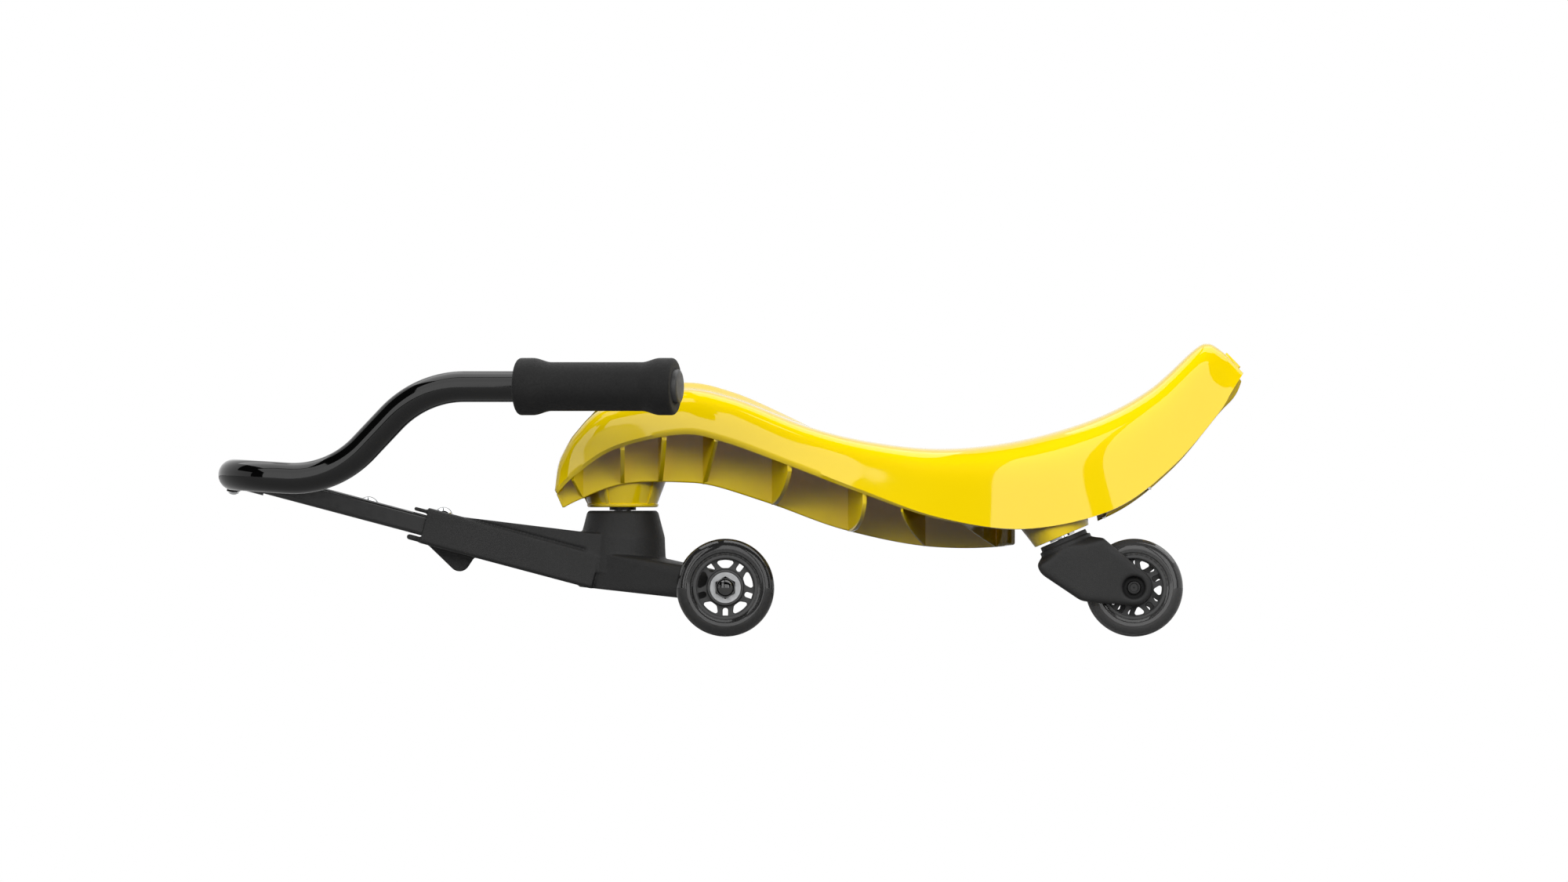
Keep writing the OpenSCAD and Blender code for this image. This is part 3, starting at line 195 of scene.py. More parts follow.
class Shader:
    """Node tree of one material around a principled surface."""

    def __init__(self, name: str) -> None:
        """Starts a material with object coordinates ready to use.

        Args:
            name: name of the material.
        """
        self.material = bpy.data.materials.new(name)
        self.material.use_nodes = True
        self.nodes = self.material.node_tree.nodes
        self.links = self.material.node_tree.links
        self.surface = self.nodes["Principled BSDF"]
        self.place = self.nodes.new("ShaderNodeTexCoord").outputs["Object"]

    def set(self, socket: str, value: object) -> None:
        """Sets a constant on the surface's own socket."""
        self.surface.inputs[socket].default_value = value

    def feed(self, socket: str, source: Socket) -> None:
        """Links a varying value to one of the surface's sockets."""
        self.links.new(source, self.surface.inputs[socket])

    def node(self, kind: str, socket: str, source: Socket, **values: object) -> bpy.types.Node:
        """Adds a node that works on one varying value.

        Args:
            kind: type of the node, after its common beginning.
            socket: socket that takes the varying value.
            source: the varying value.
            values: constants, under their sockets' names in small letters.

        Returns:
            The node.
        """
        node = self.nodes.new("ShaderNode" + kind)
        for name, value in values.items():
            node.inputs[name.replace("_", " ").title()].default_value = value
        self.links.new(source, node.inputs[socket])
        return node

    def noise(self, scale: float, detail: float = 3.0) -> Socket:
        """Cloudy noise over the piece.

        Args:
            scale: cells for each metre.
            detail: octaves of finer noise.

        Returns:
            The noise value.
        """
        return self.node("TexNoise", "Vector", self.place, scale=scale, detail=detail).outputs["Fac"]

    def cells(self, scale: float) -> Socket:
        """Distance to scattered points, for a pebbled grain.

        Args:
            scale: cells for each metre.

        Returns:
            The distance value.
        """
        return self.node("TexVoronoi", "Vector", self.place, scale=scale).outputs["Distance"]

    def rings(self, centre: tuple[float, float], scale: float) -> Socket:
        """Fine circles around an axis along Y.

        Args:
            centre: X and Z of the axis, in millimetres.
            scale: circles for each metre.

        Returns:
            The ring value.
        """
        away = (-centre[0] * MM, 0, -centre[1] * MM)
        moved = self.node("Mapping", "Vector", self.place, location=away, scale=(1, 0, 1))
        length = self.node("VectorMath", "Vector", moved.outputs["Vector"])
        length.operation = "LENGTH"
        node = self.nodes.new("ShaderNodeTexNoise")
        node.noise_dimensions = "1D"
        node.inputs["Scale"].default_value = scale
        self.links.new(length.outputs["Value"], node.inputs["W"])
        return node.outputs["Fac"]

    def span(self, source: Socket, low: float, high: float) -> Socket:
        """Spreads a noise value over a range.

        Args:
            source: the noise value.
            low: value where the noise is low.
            high: value where the noise is high.

        Returns:
            The spread value.
        """
        start, end = NOISE_SPAN
        node = self.node("MapRange", "Value", source, from_min=start, from_max=end,
                         to_min=low, to_max=high)
        return node.outputs["Result"]

    def tones(self, source: Socket, low: Colour, high: Colour) -> Socket:
        """Runs between two tones of a colour.

        Args:
            source: the noise value.
            low: tone where the noise is low.
            high: tone where the noise is high.

        Returns:
            The colour.
        """
        node = self.node("ValToRGB", "Fac", source)
        for k, tone in enumerate((low, high)):
            node.color_ramp.elements[k].position = NOISE_SPAN[k]
            node.color_ramp.elements[k].color = (*tone, 1)
        return node.outputs["Color"]

    def bump(self, height: Socket, relief: float) -> None:
        """Raises the surface's normal by a height value.

        Args:
            height: the height value.
            relief: height of the relief, in millimetres.
        """
        node = self.node("Bump", "Height", height, distance=relief * MM)
        self.feed("Normal", node.outputs["Normal"])


@dataclass(frozen=True)
class Finish:
    """Moulded or coated surface with a slow change of tone and a fine skin."""

    name: str
    dark: Colour
    light: Colour
    rough: tuple[float, float]
    grain: float
    relief: float
    mottle: float = 9.0
    fixed: tuple[tuple[str, object], ...] = ()

    def material(self) -> bpy.types.Material:
        """Node material of this finish, made at its first use."""
        return bpy.data.materials.get(self.name) or self.make()

    def make(self) -> bpy.types.Material:
        """Makes the node material.

        Returns:
            The new material.
        """
        shader = Shader(self.name)
        for socket, value in self.fixed:
            shader.set(socket, value)
        shader.feed("Base Color", shader.tones(shader.noise(self.mottle), self.dark, self.light))
        shader.feed("Roughness", shader.span(shader.noise(self.grain / 3), *self.rough))
        shader.bump(self.skin(shader), self.relief)
        return shader.material

    def skin(self, shader: Shader) -> Socket:
        """Height of the skin: soft unevenness of a polished mould."""
        return shader.noise(self.grain)


@dataclass(frozen=True)
class PebbledFinish(Finish):
    """Moulded surface with the pebbled grain of an etched mould."""

    def skin(self, shader: Shader) -> Socket:
        """Height of the skin: pebbles of the mould's grain."""
        return shader.cells(self.grain)


@dataclass(frozen=True)
class TurnedFinish(Finish):
    """Metal turned on a lathe, with fine circles around an axis along Y."""

    centre: tuple[float, float] = (0.0, 0.0)

    def skin(self, shader: Shader) -> Socket:
        """Height of the skin: circles left by the tool."""
        return shader.rings(self.centre, self.grain)


def grey(level: float) -> Colour:
    """Neutral colour of one level."""
    return (level, level, level)


METAL = (("Metallic", 1.0),)
GLOSS_YELLOW = Finish(
    "gloss_yellow", (0.86, 0.615, 0.0), (0.9, 0.65, 0.002), (0.02, 0.045), 420.0, 0.002, 7.0,
    (("IOR", 1.5),),
)
# Underside of the same yellow moulding. It is rougher and pebbled, and its base is far darker than the
# gloss yellow: painted shade for the hollow, ribs and bosses.
SATIN_YELLOW_PAINTED_SHADE = PebbledFinish(
    "satin_yellow", (0.36, 0.265, 0.006), (0.42, 0.31, 0.009), (0.5, 0.6), 1500.0, 0.03, 14.0,
)
GRAINED_BLACK = PebbledFinish(
    "grained_black", grey(0.012), grey(0.015), (0.5, 0.6), 1700.0, 0.07, 25.0,
    (("Specular IOR Level", 0.3),),
)
PLAIN_BLACK = Finish(
    "plain_black", grey(0.022), grey(0.027), (0.4, 0.5), 700.0, 0.02, 30.0,
)
GLOSS_COAT = Finish(
    "gloss_black_coat", grey(0.001), grey(0.002), (0.03, 0.06), 260.0, 0.002, 12.0,
    (("IOR", 1.42),),
)
SATIN_COAT = Finish(
    "satin_black_coat", grey(0.004), grey(0.005), (0.15, 0.2), 600.0, 0.003, 20.0,
)
SOFT_RUBBER = PebbledFinish(
    "soft_rubber", grey(0.007), grey(0.009), (0.62, 0.76), 1900.0, 0.06, 30.0,
    (("Sheen Weight", 0.05), ("Sheen Roughness", 0.45), ("Specular IOR Level", 0.2)),
)
SMOKE_POLYURETHANE = Finish(
    "smoke_polyurethane", grey(0.03), (0.037, 0.0365, 0.036), (0.03, 0.06), 300.0, 0.004, 40.0,
    (("Transmission Weight", 0.6), ("IOR", 1.48)),
)
CLEAR_POLYURETHANE = Finish(
    "clear_polyurethane", grey(0.06), (0.072, 0.071, 0.07), (0.03, 0.06), 300.0, 0.004, 40.0,
    (("Transmission Weight", 0.5), ("IOR", 1.48)),
)
ZINC = Finish(
    "zinc_plate", (0.5, 0.51, 0.52), (0.6, 0.61, 0.62), (0.26, 0.38), 900.0, 0.008, 60.0,
    METAL,
)
CHROME = Finish(
    "bright_chrome", (0.5, 0.51, 0.52), (0.56, 0.57, 0.58), (0.06, 0.12), 500.0, 0.003, 60.0,
    METAL,
)
BLACK_OXIDE = Finish(
    "black_oxide", grey(0.03), grey(0.04), (0.16, 0.24), 700.0, 0.004, 60.0,
    METAL,
)
DARK_STEEL = Finish(
    "dark_steel", grey(0.07), grey(0.09), (0.1, 0.16), 700.0, 0.004, 60.0,
    METAL,
)
BRASS = Finish(
    "plain_brass", (0.52, 0.36, 0.11), (0.6, 0.43, 0.15), (0.28, 0.4), 900.0, 0.01, 60.0,
    METAL,
)
PALE_FLOOR = Finish("pale_floor", grey(0.54), grey(0.56), (0.7, 0.8), 60.0, 0.05, 2.0)
DARK_CLOTH = Finish("dark_cloth", grey(0.0), grey(0.002), (0.9, 1.0), 60.0, 0.05, 2.0)


class MeshDraft:
    """Points and faces of one piece in millimetres, gathered before they become a mesh."""

    def __init__(self) -> None:
        """Starts an empty draft."""
        self.points: list[np.ndarray] = []
        self.faces: list[tuple[int, ...]] = []
        self.slots: list[int] = []
        self.count = 0

    def add(self, points: np.ndarray) -> int:
        """Adds points.

        Args:
            points: array whose last axis is x, y and z.

        Returns:
            The number of the first new point.
        """
        start = self.count
        self.points.append(np.asarray(points, float).reshape(-1, 3))
        self.count += len(self.points[-1])
        return start

    def face(self, corners: Sequence[int], slot: int = 0) -> None:
        """Adds one face through the given points."""
        self.faces.append(tuple(corners))
        self.slots.append(slot)

    def grid(self, rows: np.ndarray, ring_rows: bool = False, ring_columns: bool = False,
             slot: int = 0) -> int:
        """Adds a sheet of four-cornered faces.

        Args:
            rows: array of rows of points.
            ring_rows: whether the last row joins the first.
            ring_columns: whether each row closes on itself.
            slot: material of the faces.

        Returns:
            The number of the first new point.
        """
        m, n = rows.shape[:2]
        start = self.add(rows)
        for i in range(m if ring_rows else m - 1):
            for k in range(n if ring_columns else n - 1):
                a, b = start + i * n, start + (i + 1) % m * n
                self.face((a + k, a + (k + 1) % n, b + (k + 1) % n, b + k), slot)
        return start

    def caps(self, start: int, rows: np.ndarray, slot: int = 0) -> None:
        """Closes the first and the last row of a sheet with a face each.

        Args:
            start: number of the sheet's first point.
            rows: the sheet's rows of points.
            slot: material of the faces.
        """
        m, n = rows.shape[:2]
        self.face(range(start, start + n), slot)
        self.face(range(start + (m - 1) * n, start + m * n), slot)

    def tube(self, rows: np.ndarray, slot: int = 0) -> None:
        """Adds closed rows joined into a solid with a face at each end.

        Args:
            rows: array of closed rows of points.
            slot: material of the faces.
        """
        self.caps(self.grid(rows, ring_columns=True, slot=slot), rows, slot)

    def slab(self, low: np.ndarray, high: np.ndarray, normal: np.ndarray, thick: float, soft: float,
             slot: int = 0) -> None:
        """Adds a thin plate that stands between two lines, with rounded lower edges.

        Args:
            low: points of the lower line.
            high: points of the upper line.
            normal: direction across the plate.
            thick: thickness of the plate.
            soft: rounding of the lower edges.
            slot: material of the faces.
        """
        rise = high - low
        length = np.linalg.norm(rise, axis=1, keepdims=True)
        soft = np.minimum(soft, 0.4 * length)
        left, right = [high - normal * thick / 2], [high + normal * thick / 2]
        for a in np.radians((0, 30, 60, 90)):
            lifted = low + rise / length * soft * (1 - math.sin(a))
            across = normal * (thick / 2 - soft * (1 - math.cos(a)))
            left.append(lifted - across)
            right.append(lifted + across)
        self.tube(np.stack(left + right[::-1], axis=1), slot)

    def lathe(self, outline: Profile, place: np.ndarray, steps: int = 96, slot: int = 0) -> None:
        """Adds a turned solid.

        Args:
            outline: closed outline as radius and height.
            place: placement of the turning axis, which is local Z.
            steps: facets around the axis.
            slot: material of the faces.
        """
        a = full_turn(steps)[:, None]
        r, z = np.array(outline).T
        rows = np.stack((r * np.cos(a), r * np.sin(a), z + 0 * a), axis=2)
        self.grid(placed(rows, place), ring_rows=True, ring_columns=True, slot=slot)

    def build(self, name: str, finishes: Sequence[Finish], sharp: float = 35.0) -> Object:
        """Makes the object.

        Args:
            name: name of the piece.
            finishes: finish of each material slot.
            sharp: angle above which an edge stays sharp, in degrees.

        Returns:
            The new object.
        """
        mesh = bpy.data.meshes.new(name)
        mesh.from_pydata((np.concatenate(self.points) * MM).tolist(), [], self.faces)
        mesh.polygons.foreach_set("material_index", self.slots)
        weld(mesh, outward=True)
        mesh.shade_smooth()
        mesh.set_sharp_from_angle(angle=math.radians(sharp))
        return added(name, mesh, finishes)


def weld(mesh: bpy.types.Mesh, outward: bool = False) -> None:
    """Joins the points of a mesh that lie at one place.

    Args:
        mesh: the mesh.
        outward: whether its faces are turned outward too.
    """
    work = bmesh.new()
    work.from_mesh(mesh)
    bmesh.ops.remove_doubles(work, verts=work.verts, dist=WELD)
    if outward:
        bmesh.ops.recalc_face_normals(work, faces=work.faces)
    work.to_mesh(mesh)
    work.free()


def evaluated(draft: Object) -> bpy.types.Mesh:
    """Mesh of an object after its modifiers."""
    seen = draft.evaluated_get(bpy.context.evaluated_depsgraph_get())
    return bpy.data.meshes.new_from_object(seen)


def added(name: str, mesh: bpy.types.Mesh, finishes: Sequence[Finish]) -> Object:
    """Puts a mesh into the scene as a dressed object.

    Args:
        name: name of the piece.
        mesh: its mesh.
        finishes: finish of each material slot.

    Returns:
        The new object.
    """
    mesh.materials.clear()
    for finish in finishes:
        mesh.materials.append(finish.material())
    piece = bpy.data.objects.new(name, mesh)
    bpy.context.scene.collection.objects.link(piece)
    return piece


def settle(piece: Object, body: str, node: str) -> None:
    """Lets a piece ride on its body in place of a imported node, and reports it.

    Args:
        piece: the finished piece.
        body: body that carries it.
        node: node that it stands for.
    """
    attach(piece, body)
    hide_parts(node)
    LOG.info("%s rides on %s with %d faces", piece.name, body, len(piece.data.polygons))


@dataclass
class SeatMoulding:
    """Banana-shaped seat shell with a ridge on its hump and a ribbed, open underside."""

    fine_count: int = 900
    wall: float = 3.0
    square: float = 8.0
    half_width: float = 96.0
    web_half: float = 30.0
    rim: float = 1.8
    rib: float = 2.8
    rib_soft: float = 0.35
    rib_sink: float = 0.9
    rib_least: float = 0.2
    rib_steps: int = 22
    cross_steps: int = 13
    web_soft: float = 1.2
    web_step: int = 6
    nose_rise: float = 0.5
    least_depth: float = 0.3
    nose_round: float = 5.0
    tail_round: float = 2.5
    ridge_high: float = 4.2
    ridge_half: float = 32.0
    ridge_span: tuple[float, float] = (1.55, 5.1)
    ridge_edge: float = 18.0
    ridge_reach: float = 0.7
    crown_half: float = 29.0
    crown_share: float = 0.62
    gather: float = 1.6
    outer_steps: tuple[int, int] = (30, 58)
    inner_steps: tuple[int, int] = (20, 18)
    row_runs: tuple[tuple[float, float, int], ...] = ((0.3, 1.2, 16), (1.2, 5.5, 26), (5.5, 12.6, 16))
    pivot: Point = (-77.1, 0.0, 92.4)
    front_boss: float = 51.0
    front_draft: float = 0.37
    front_bore: float = 18.0
    boss_floor: float = 2.2
    fins: int = 5
    fin_turn: float = 29.0
    fin_proud: float = 1.2
    fin_ease: float = 8.0
    fin_root: float = 6.0
    fin_soft: float = 0.5
    boss_reach: int = 90
    rear_boss: float = 42.0
    rear_bore: float = 14.0
    rear_draft: float = 0.25
    boss_spread: float = 20.0
    boss_facets: int = 72
    post: tuple[float, float] = (196.3, 13.4)
    post_edge: Line = ((1.4, 0.0), (0.4, 0.4), (0.0, 1.4))
    post_facets: int = 40
    tail_web: float = 262.0
    pad: Point = (14.4, 15.0, 1.7)
    pad_corner: float = 1.5
    # Each station: X and Z of the top line, X and Z of the wall's edge, share of the half-width,
    # depth of the ribs, drop of the wall's inner edge, bend of the ribs' lower edge.
    stations: tuple[tuple[float, ...], ...] = (
        (-123.2, 125.4, -125.7, 104.7, 0.42, 18.0, 4.6, 1.0),
        (-110.9, 145.9, -110.3, 119.3, 0.49, 22.4, 3.5, 1.0),
        (-87.9, 165.2, -82.3, 136.6, 0.565, 28.3, 2.5, 1.2),
        (-37.5, 177.2, -35.8, 147.0, 0.648, 37.0, 2.7, 1.2),
        (1.7, 170.8, -3.9, 141.7, 0.702, 35.2, 2.9, 1.0),
        (54.9, 150.4, 43.7, 124.3, 0.788, 32.9, 2.7, 1.4),
        (99.7, 139.4, 91.3, 105.6, 0.871, 31.0, 2.2, 2.0),
        (151.8, 134.4, 149.0, 85.1, 0.954, 21.3, 1.2, 1.0),
        (206.1, 140.3, 210.6, 77.0, 1.0, 10.0, 0.3, 1.0),
        (259.3, 155.7, 272.6, 90.6, 0.95, 3.0, 0.1, 1.4),
        (298.5, 176.4, 314.8, 120.8, 0.825, 1.3, 0.1, 1.4),
        (330.4, 204.7, 347.2, 157.9, 0.645, 0.3, 0.1, 1.4),
        (341.0, 209.4, 358.4, 175.8, 0.57, 4.2, 0.1, 1.4),
        (350.0, 205.0, 366.2, 188.2, 0.5, 0.4, 0.1, 1.4),
    )
    # Side ribs: X at the wall, X at the web, share of the full rib's thickness.
    rib_out: tuple[float, ...] = (-114.3, -77.3, -47.2, -9.6, 42.9, 96.3, 121.5, 164.6, 268.0, 299.0)
    rib_in: tuple[float, ...] = (-105.9, -77.3, -50.3, -18.5, 30.5, 85.0, 138.8, 189.2, 266.0, 299.0)
    rib_share: tuple[float, ...] = (0.8, 1.1, 1.2, 1.2, 1.1, 1.0, 0.5, 0.5, 0.8, 0.8)
    cross_ribs: tuple[float, ...] = (-105.9, -18.5, 30.5, 85.0, 138.8, 189.2, 266.0, 299.0)
    draft: MeshDraft = field(default_factory=MeshDraft)

    def __post_init__(self) -> None:
        """Prepares the smooth curve through the stations and a fine list of its places."""
        table = np.array(self.stations)
        self.last = len(table) - 1
        self.curve = np.vstack((2 * table[0] - table[1], table, 2 * table[-1] - table[-2]))
        middle = (table[:, 0:2] + table[:, 2:4]) / 2
        self.nose_step = float(np.linalg.norm(middle[0] - middle[1]))
        self.tail_step = float(np.linalg.norm(middle[-1] - middle[-2]))
        self.inner_from = self.wall / self.nose_step
        self.inner_to = self.last - self.wall / self.tail_step
        self.fine = np.linspace(self.inner_from, self.inner_to, self.fine_count)

    def station(self, u: np.ndarray) -> np.ndarray:
        """Smooth curve through the stations.

        Args:
            u: places along the seat, counted in stations.

        Returns:
            The eight values of a station at each place.
        """
        u = np.asarray(u, float)
        i = np.clip(np.floor(u).astype(int), 0, self.last - 1)
        t = (u - i)[..., None]
        a, b, c, d = (self.curve[i + k] for k in range(4))
        return 0.5 * (2 * b + (c - a) * t + (2 * a - 5 * b + 4 * c - d) * t ** 2
                      + (3 * b - a - 3 * c + d) * t ** 3)

    def point(self, u: np.ndarray, y: np.ndarray, v: np.ndarray) -> np.ndarray:
        """Points of the seat.

        Args:
            u: places along the seat.
            y: places across it.
            v: heights from the wall's edge towards the top line.

        Returns:
            The points in the model's frame.
        """
        s = self.station(u)
        rise = s[..., 0:2] - s[..., 2:4]
        rise = rise / np.linalg.norm(rise, axis=-1, keepdims=True)
        x = s[..., 2] + rise[..., 0] * v
        z = s[..., 3] + rise[..., 1] * v
        return np.stack(np.broadcast_arrays(x, y, z), axis=-1)

    def height(self, u: np.ndarray) -> np.ndarray:
        """Height of the cross-section."""
        s = self.station(u)
        return np.linalg.norm(s[..., 0:2] - s[..., 2:4], axis=-1)

    def half(self, u: np.ndarray) -> np.ndarray:
        """Half-width of the cross-section."""
        return self.station(u)[..., 4] * self.half_width

    def depth(self, u: np.ndarray) -> np.ndarray:
        """Depth of the ribs below the wall's edge."""
        deep = np.maximum(self.least_depth, self.station(u)[..., 5])
        return deep * np.minimum(1, np.asarray(u) / self.nose_rise + 0.02)

    def drop(self, u: np.ndarray) -> np.ndarray:
        """Drop of the wall's inner edge below its outer one."""
        start = np.asarray(u) * self.nose_step / self.wall + 0.05
        return self.station(u)[..., 6] * np.minimum(1, start)

    def pull(self, u: float) -> float:
        """How far the section pulls in to round the edges at the two ends.

        Args:
            u: place along the seat.

        Returns:
            The distance.
        """
        total = 0.0
        nose, tail = u * self.nose_step, (self.last - u) * self.tail_step
        for d, r in ((nose, self.nose_round), (tail, self.tail_round)):
            if d < r:
                total += r - math.sqrt(max(0.0, r * r - (r - d) ** 2))
        return total

    def arch(self, wide: float, high: float, side_steps: int, crown_steps: int) -> np.ndarray:
        """Superelliptic arch from one edge of the wall to the other.

        Args:
            wide: half-width.
            high: height.
            side_steps: steps from an edge over the shoulder.
            crown_steps: even steps across the middle.

        Returns:
            Places across and up.
        """
        n = self.square
        share = min(self.crown_half, self.crown_share * wide) / wide
        end = math.degrees(math.atan2((1 - share ** n) ** (1 / n), share))
        q = np.linspace(-1, ((end - 45) / 45) ** (1 / self.gather), side_steps + 1)
        a = np.radians(45 + 45 * np.sign(q) * np.abs(q) ** self.gather)
        r = (np.abs(np.cos(a)) ** n + np.abs(np.sin(a)) ** n) ** (-1 / n)
        side = np.stack((wide * np.cos(a) * r, high * np.sin(a) * r), axis=1)
        y = np.linspace(share, -share, crown_steps + 1)[1:-1]
        crown = np.stack((wide * y, high * (1 - np.abs(y) ** n) ** (1 / n)), axis=1)
        return np.concatenate((side, crown, side[::-1] * (-1, 1)))

    def ridge(self, u: float, y: np.ndarray) -> np.ndarray:
        """Height of the raised ridge over the hump, with soft shoulders.

        Args:
            u: place along the seat.
            y: places across it.

        Returns:
            The height at each place across.
        """
        start, end = self.ridge_span
        share = math.sin(math.pi * np.clip((u - start) / (end - start), 0, 1))
        if share < 1e-6:
            return np.zeros_like(y)
        inside = np.clip((self.ridge_half * share ** 0.5 - np.abs(y)) / self.ridge_edge, 0, 1)
        return self.ridge_high * share ** 0.7 * inside * inside * (3 - 2 * inside)

    def places(self) -> np.ndarray:
        """Rows of the shell, close together at its ends and along the ridge.

        Returns:
            Places along the seat in order.
        """
        ends = 1 - np.cos(np.linspace(0, math.pi / 2, 9))
        nose = ends * self.nose_round / self.nose_step
        tail = self.last - ends * self.tail_round / self.tail_step
        body = np.concatenate([np.arange(start, end, 1 / rows) for start, end, rows in self.row_runs])
        return np.unique(np.concatenate((nose, body, tail, (self.inner_from, self.inner_to))))

    def section(self, u: float, line: np.ndarray, lips: np.ndarray) -> np.ndarray:
        """Row of the shell at one place along the seat.

        Args:
            u: the place.
            line: arch of the section.
            lips: inner edges of the wall, where the row starts and ends.

        Returns:
            The points in the model's frame.
        """
        line = np.concatenate((lips[:1], line, lips[1:]))
        return self.point(np.full(len(line), u), line[:, 0], line[:, 1])

    def shell(self) -> None:
        """Adds the shell: outside, hollow, rim and the two end walls."""
        us = self.places()
        inner = us[(us >= self.inner_from) & (us <= self.inner_to)]
        outside, lips = [], {}
        for u in us:
            p = self.pull(u)
            wide, high = float(self.half(u)) - p, float(self.height(u)) - p
            drop = float(self.drop(u))
            line = self.arch(wide, high, *self.outer_steps)
            line[:, 1] += self.ridge(u, line[:, 0]) * (np.abs(line[:, 0]) < self.ridge_reach * wide)
            lips[u] = np.array(((wide - self.rim, -drop), (self.rim - wide, -drop)))
            outside.append(self.section(u, line, lips[u]))
        rows = np.array(outside)
        columns = rows.shape[1]
        start = self.draft.grid(rows)
        self.draft.caps(start, rows)
        for i in range(len(us) - 1):
            if us[i + 1] <= self.inner_from or us[i] >= self.inner_to:
                a, b = start + i * columns, start + (i + 1) * columns
                self.draft.face((a, a + columns - 1, b + columns - 1, b))
        hollow = []
        for u in inner:
            wide = lips[u][0, 0] + self.rim - self.wall
            line = self.arch(wide, float(self.height(u)) - self.wall, *self.inner_steps)
            hollow.append(self.section(u, line, lips[u]))
        rows = np.array(hollow)
        self.draft.caps(self.draft.grid(rows, slot=SATIN_PAINTED_SHADE_SLOT), rows, SATIN_PAINTED_SHADE_SLOT)

    def ceiling_line(self, y: float) -> np.ndarray:
        """Heights of the wall's middle above the hollow, at every fine place.

        Args:
            y: place across.

        Returns:
            The heights.
        """
        wide, high = self.half(self.fine) - self.wall / 2, self.height(self.fine) - self.wall / 2
        return high * np.maximum(0, 1 - (abs(y) / wide) ** self.square) ** (1 / self.square)

    def floor_line(self, y: float) -> np.ndarray:
        """Heights of the ribs' lower edge at every fine place.

        Args:
            y: place across.

        Returns:
            The heights.
        """
        wide = self.half(self.fine) - self.wall / 2
        deep, drop = self.depth(self.fine), self.drop(self.fine)
        start = np.minimum(self.web_half, wide - 4)
        share = np.clip((abs(y) - start) / (wide - start), 0, 1)
        bend = self.station(self.fine)[:, 7]
        return -drop - (deep - drop) * (1 - share ** bend) ** (1 / bend)

    def level(self, x: float, y: float, line: np.ndarray) -> float:
        """Height above the floor where an upright line meets a surface of the seat.

        Args:
            x: place along X.
            y: place across.
            line: heights of that surface at every fine place.

        Returns:
            The height along Z.
        """
        points = self.point(self.fine, y, line)
        return float(np.interp(x, points[:, 0], points[:, 2]))

    def plate(self, places: Sequence[tuple[float, float]], normal: np.ndarray, thick: float) -> None:
        """Adds an upright rib below the ceiling.

        Args:
            places: X and Y of its samples.
            normal: direction across the rib.
            thick: thickness of the rib.
        """
        low, high = [], []
        for x, y in places:
            bottom = self.level(x, y, self.floor_line(y))
            low.append((x, y, bottom))
            high.append((x, y, max(bottom + self.rib_least, self.level(x, y, self.ceiling_line(y)))))
        self.draft.slab(np.array(low), np.array(high), normal, thick, self.rib_soft, SATIN_PAINTED_SHADE_SLOT)

    def webs(self) -> None:
        """Adds the long webs under the seat, ahead of the posts and behind the casters."""
        foot_x = self.point(self.fine, 0, -self.depth(self.fine))[:, 0]
        for side in Side:
            y = side.value * self.web_half
            for span in (foot_x < self.post[0], foot_x > self.tail_web):
                us = self.fine[span][::self.web_step]
                low = self.point(us, y, -self.depth(us))
                high = self.point(us, y, self.ceiling_line(y)[span][::self.web_step])
                across = np.array((0.0, 1.0, 0.0))
                self.draft.slab(low, high, across, self.rib, self.web_soft, SATIN_PAINTED_SHADE_SLOT)

    def posts(self) -> None:
        """Adds the round posts that end the webs ahead of the casters."""
        middle, across = self.post
        for side in Side:
            rows = []
            for inset, lift in (*self.post_edge, (0.0, None)):
                row = []
                for a in full_turn(self.post_facets):
                    x = middle + (across / 2 - inset) * math.cos(a)
                    y = side.value * self.web_half + (across / 2 - inset) * math.sin(a)
                    line = self.ceiling_line(y) if lift is None else self.floor_line(y)
                    row.append((x, y, self.level(x, y, line) + (lift or 0.0)))
                rows.append(row)
            self.draft.tube(np.array(rows), SATIN_PAINTED_SHADE_SLOT)

    def ribs(self) -> None:
        """Adds the side ribs and the ribs between the webs."""
        edge = self.station(self.fine)[:, 2]
        for x_out, x_in, share in zip(self.rib_out, self.rib_in, self.rib_share):
            wall = float(np.interp(x_out, edge, self.half(self.fine)))
            slope = (x_out - x_in) / (wall - self.web_half)
            end = wall - self.rib_sink * self.wall - self.web_half
            ys = self.web_half + end * np.sin(np.linspace(0, math.pi / 2, self.rib_steps))
            for side in Side:
                normal = np.array((1.0, -slope * side.value, 0.0)) / math.hypot(1, slope)
                places = [(x_in + slope * (y - self.web_half), side.value * y) for y in ys]
                self.plate(places, normal, self.rib * share)
        for x in self.cross_ribs:
            places = [(x, y) for y in np.linspace(-self.web_half, self.web_half, self.cross_steps)]
            self.plate(places, np.array((1.0, 0.0, 0.0)), self.rib)

    def boss(self, rings: Profile, bore: float, place: np.ndarray, widest: float) -> None:
        """Adds a bored boss that runs up into the ceiling.

        Args:
            rings: radius and height of its outside, from its foot up.
            bore: diameter of its bore.
            place: placement of its foot.
            widest: largest place across that it reaches.
        """
        rows = []
        for a in full_turn(self.boss_facets):
            around = np.array((math.cos(a), math.sin(a), 0.0))
            line = [around * r + (0, 0, h) for r, h in rings]
            line.append(self.up_to_ceiling(line[-1], place))
            bored = around * bore / 2
            rows.append([bored, *line, self.up_to_ceiling(bored, place)])
        points = placed(np.array(rows), place)
        edge = self.point(self.fine, 0, 0)[:, 0]
        wall = np.interp(points[..., 0], edge, self.half(self.fine) - self.wall / 2)
        wall = np.minimum(wall, widest)
        points[..., 1] = np.clip(points[..., 1], -wall, wall)
        self.draft.grid(points, ring_rows=True, ring_columns=True, slot=SATIN_PAINTED_SHADE_SLOT)

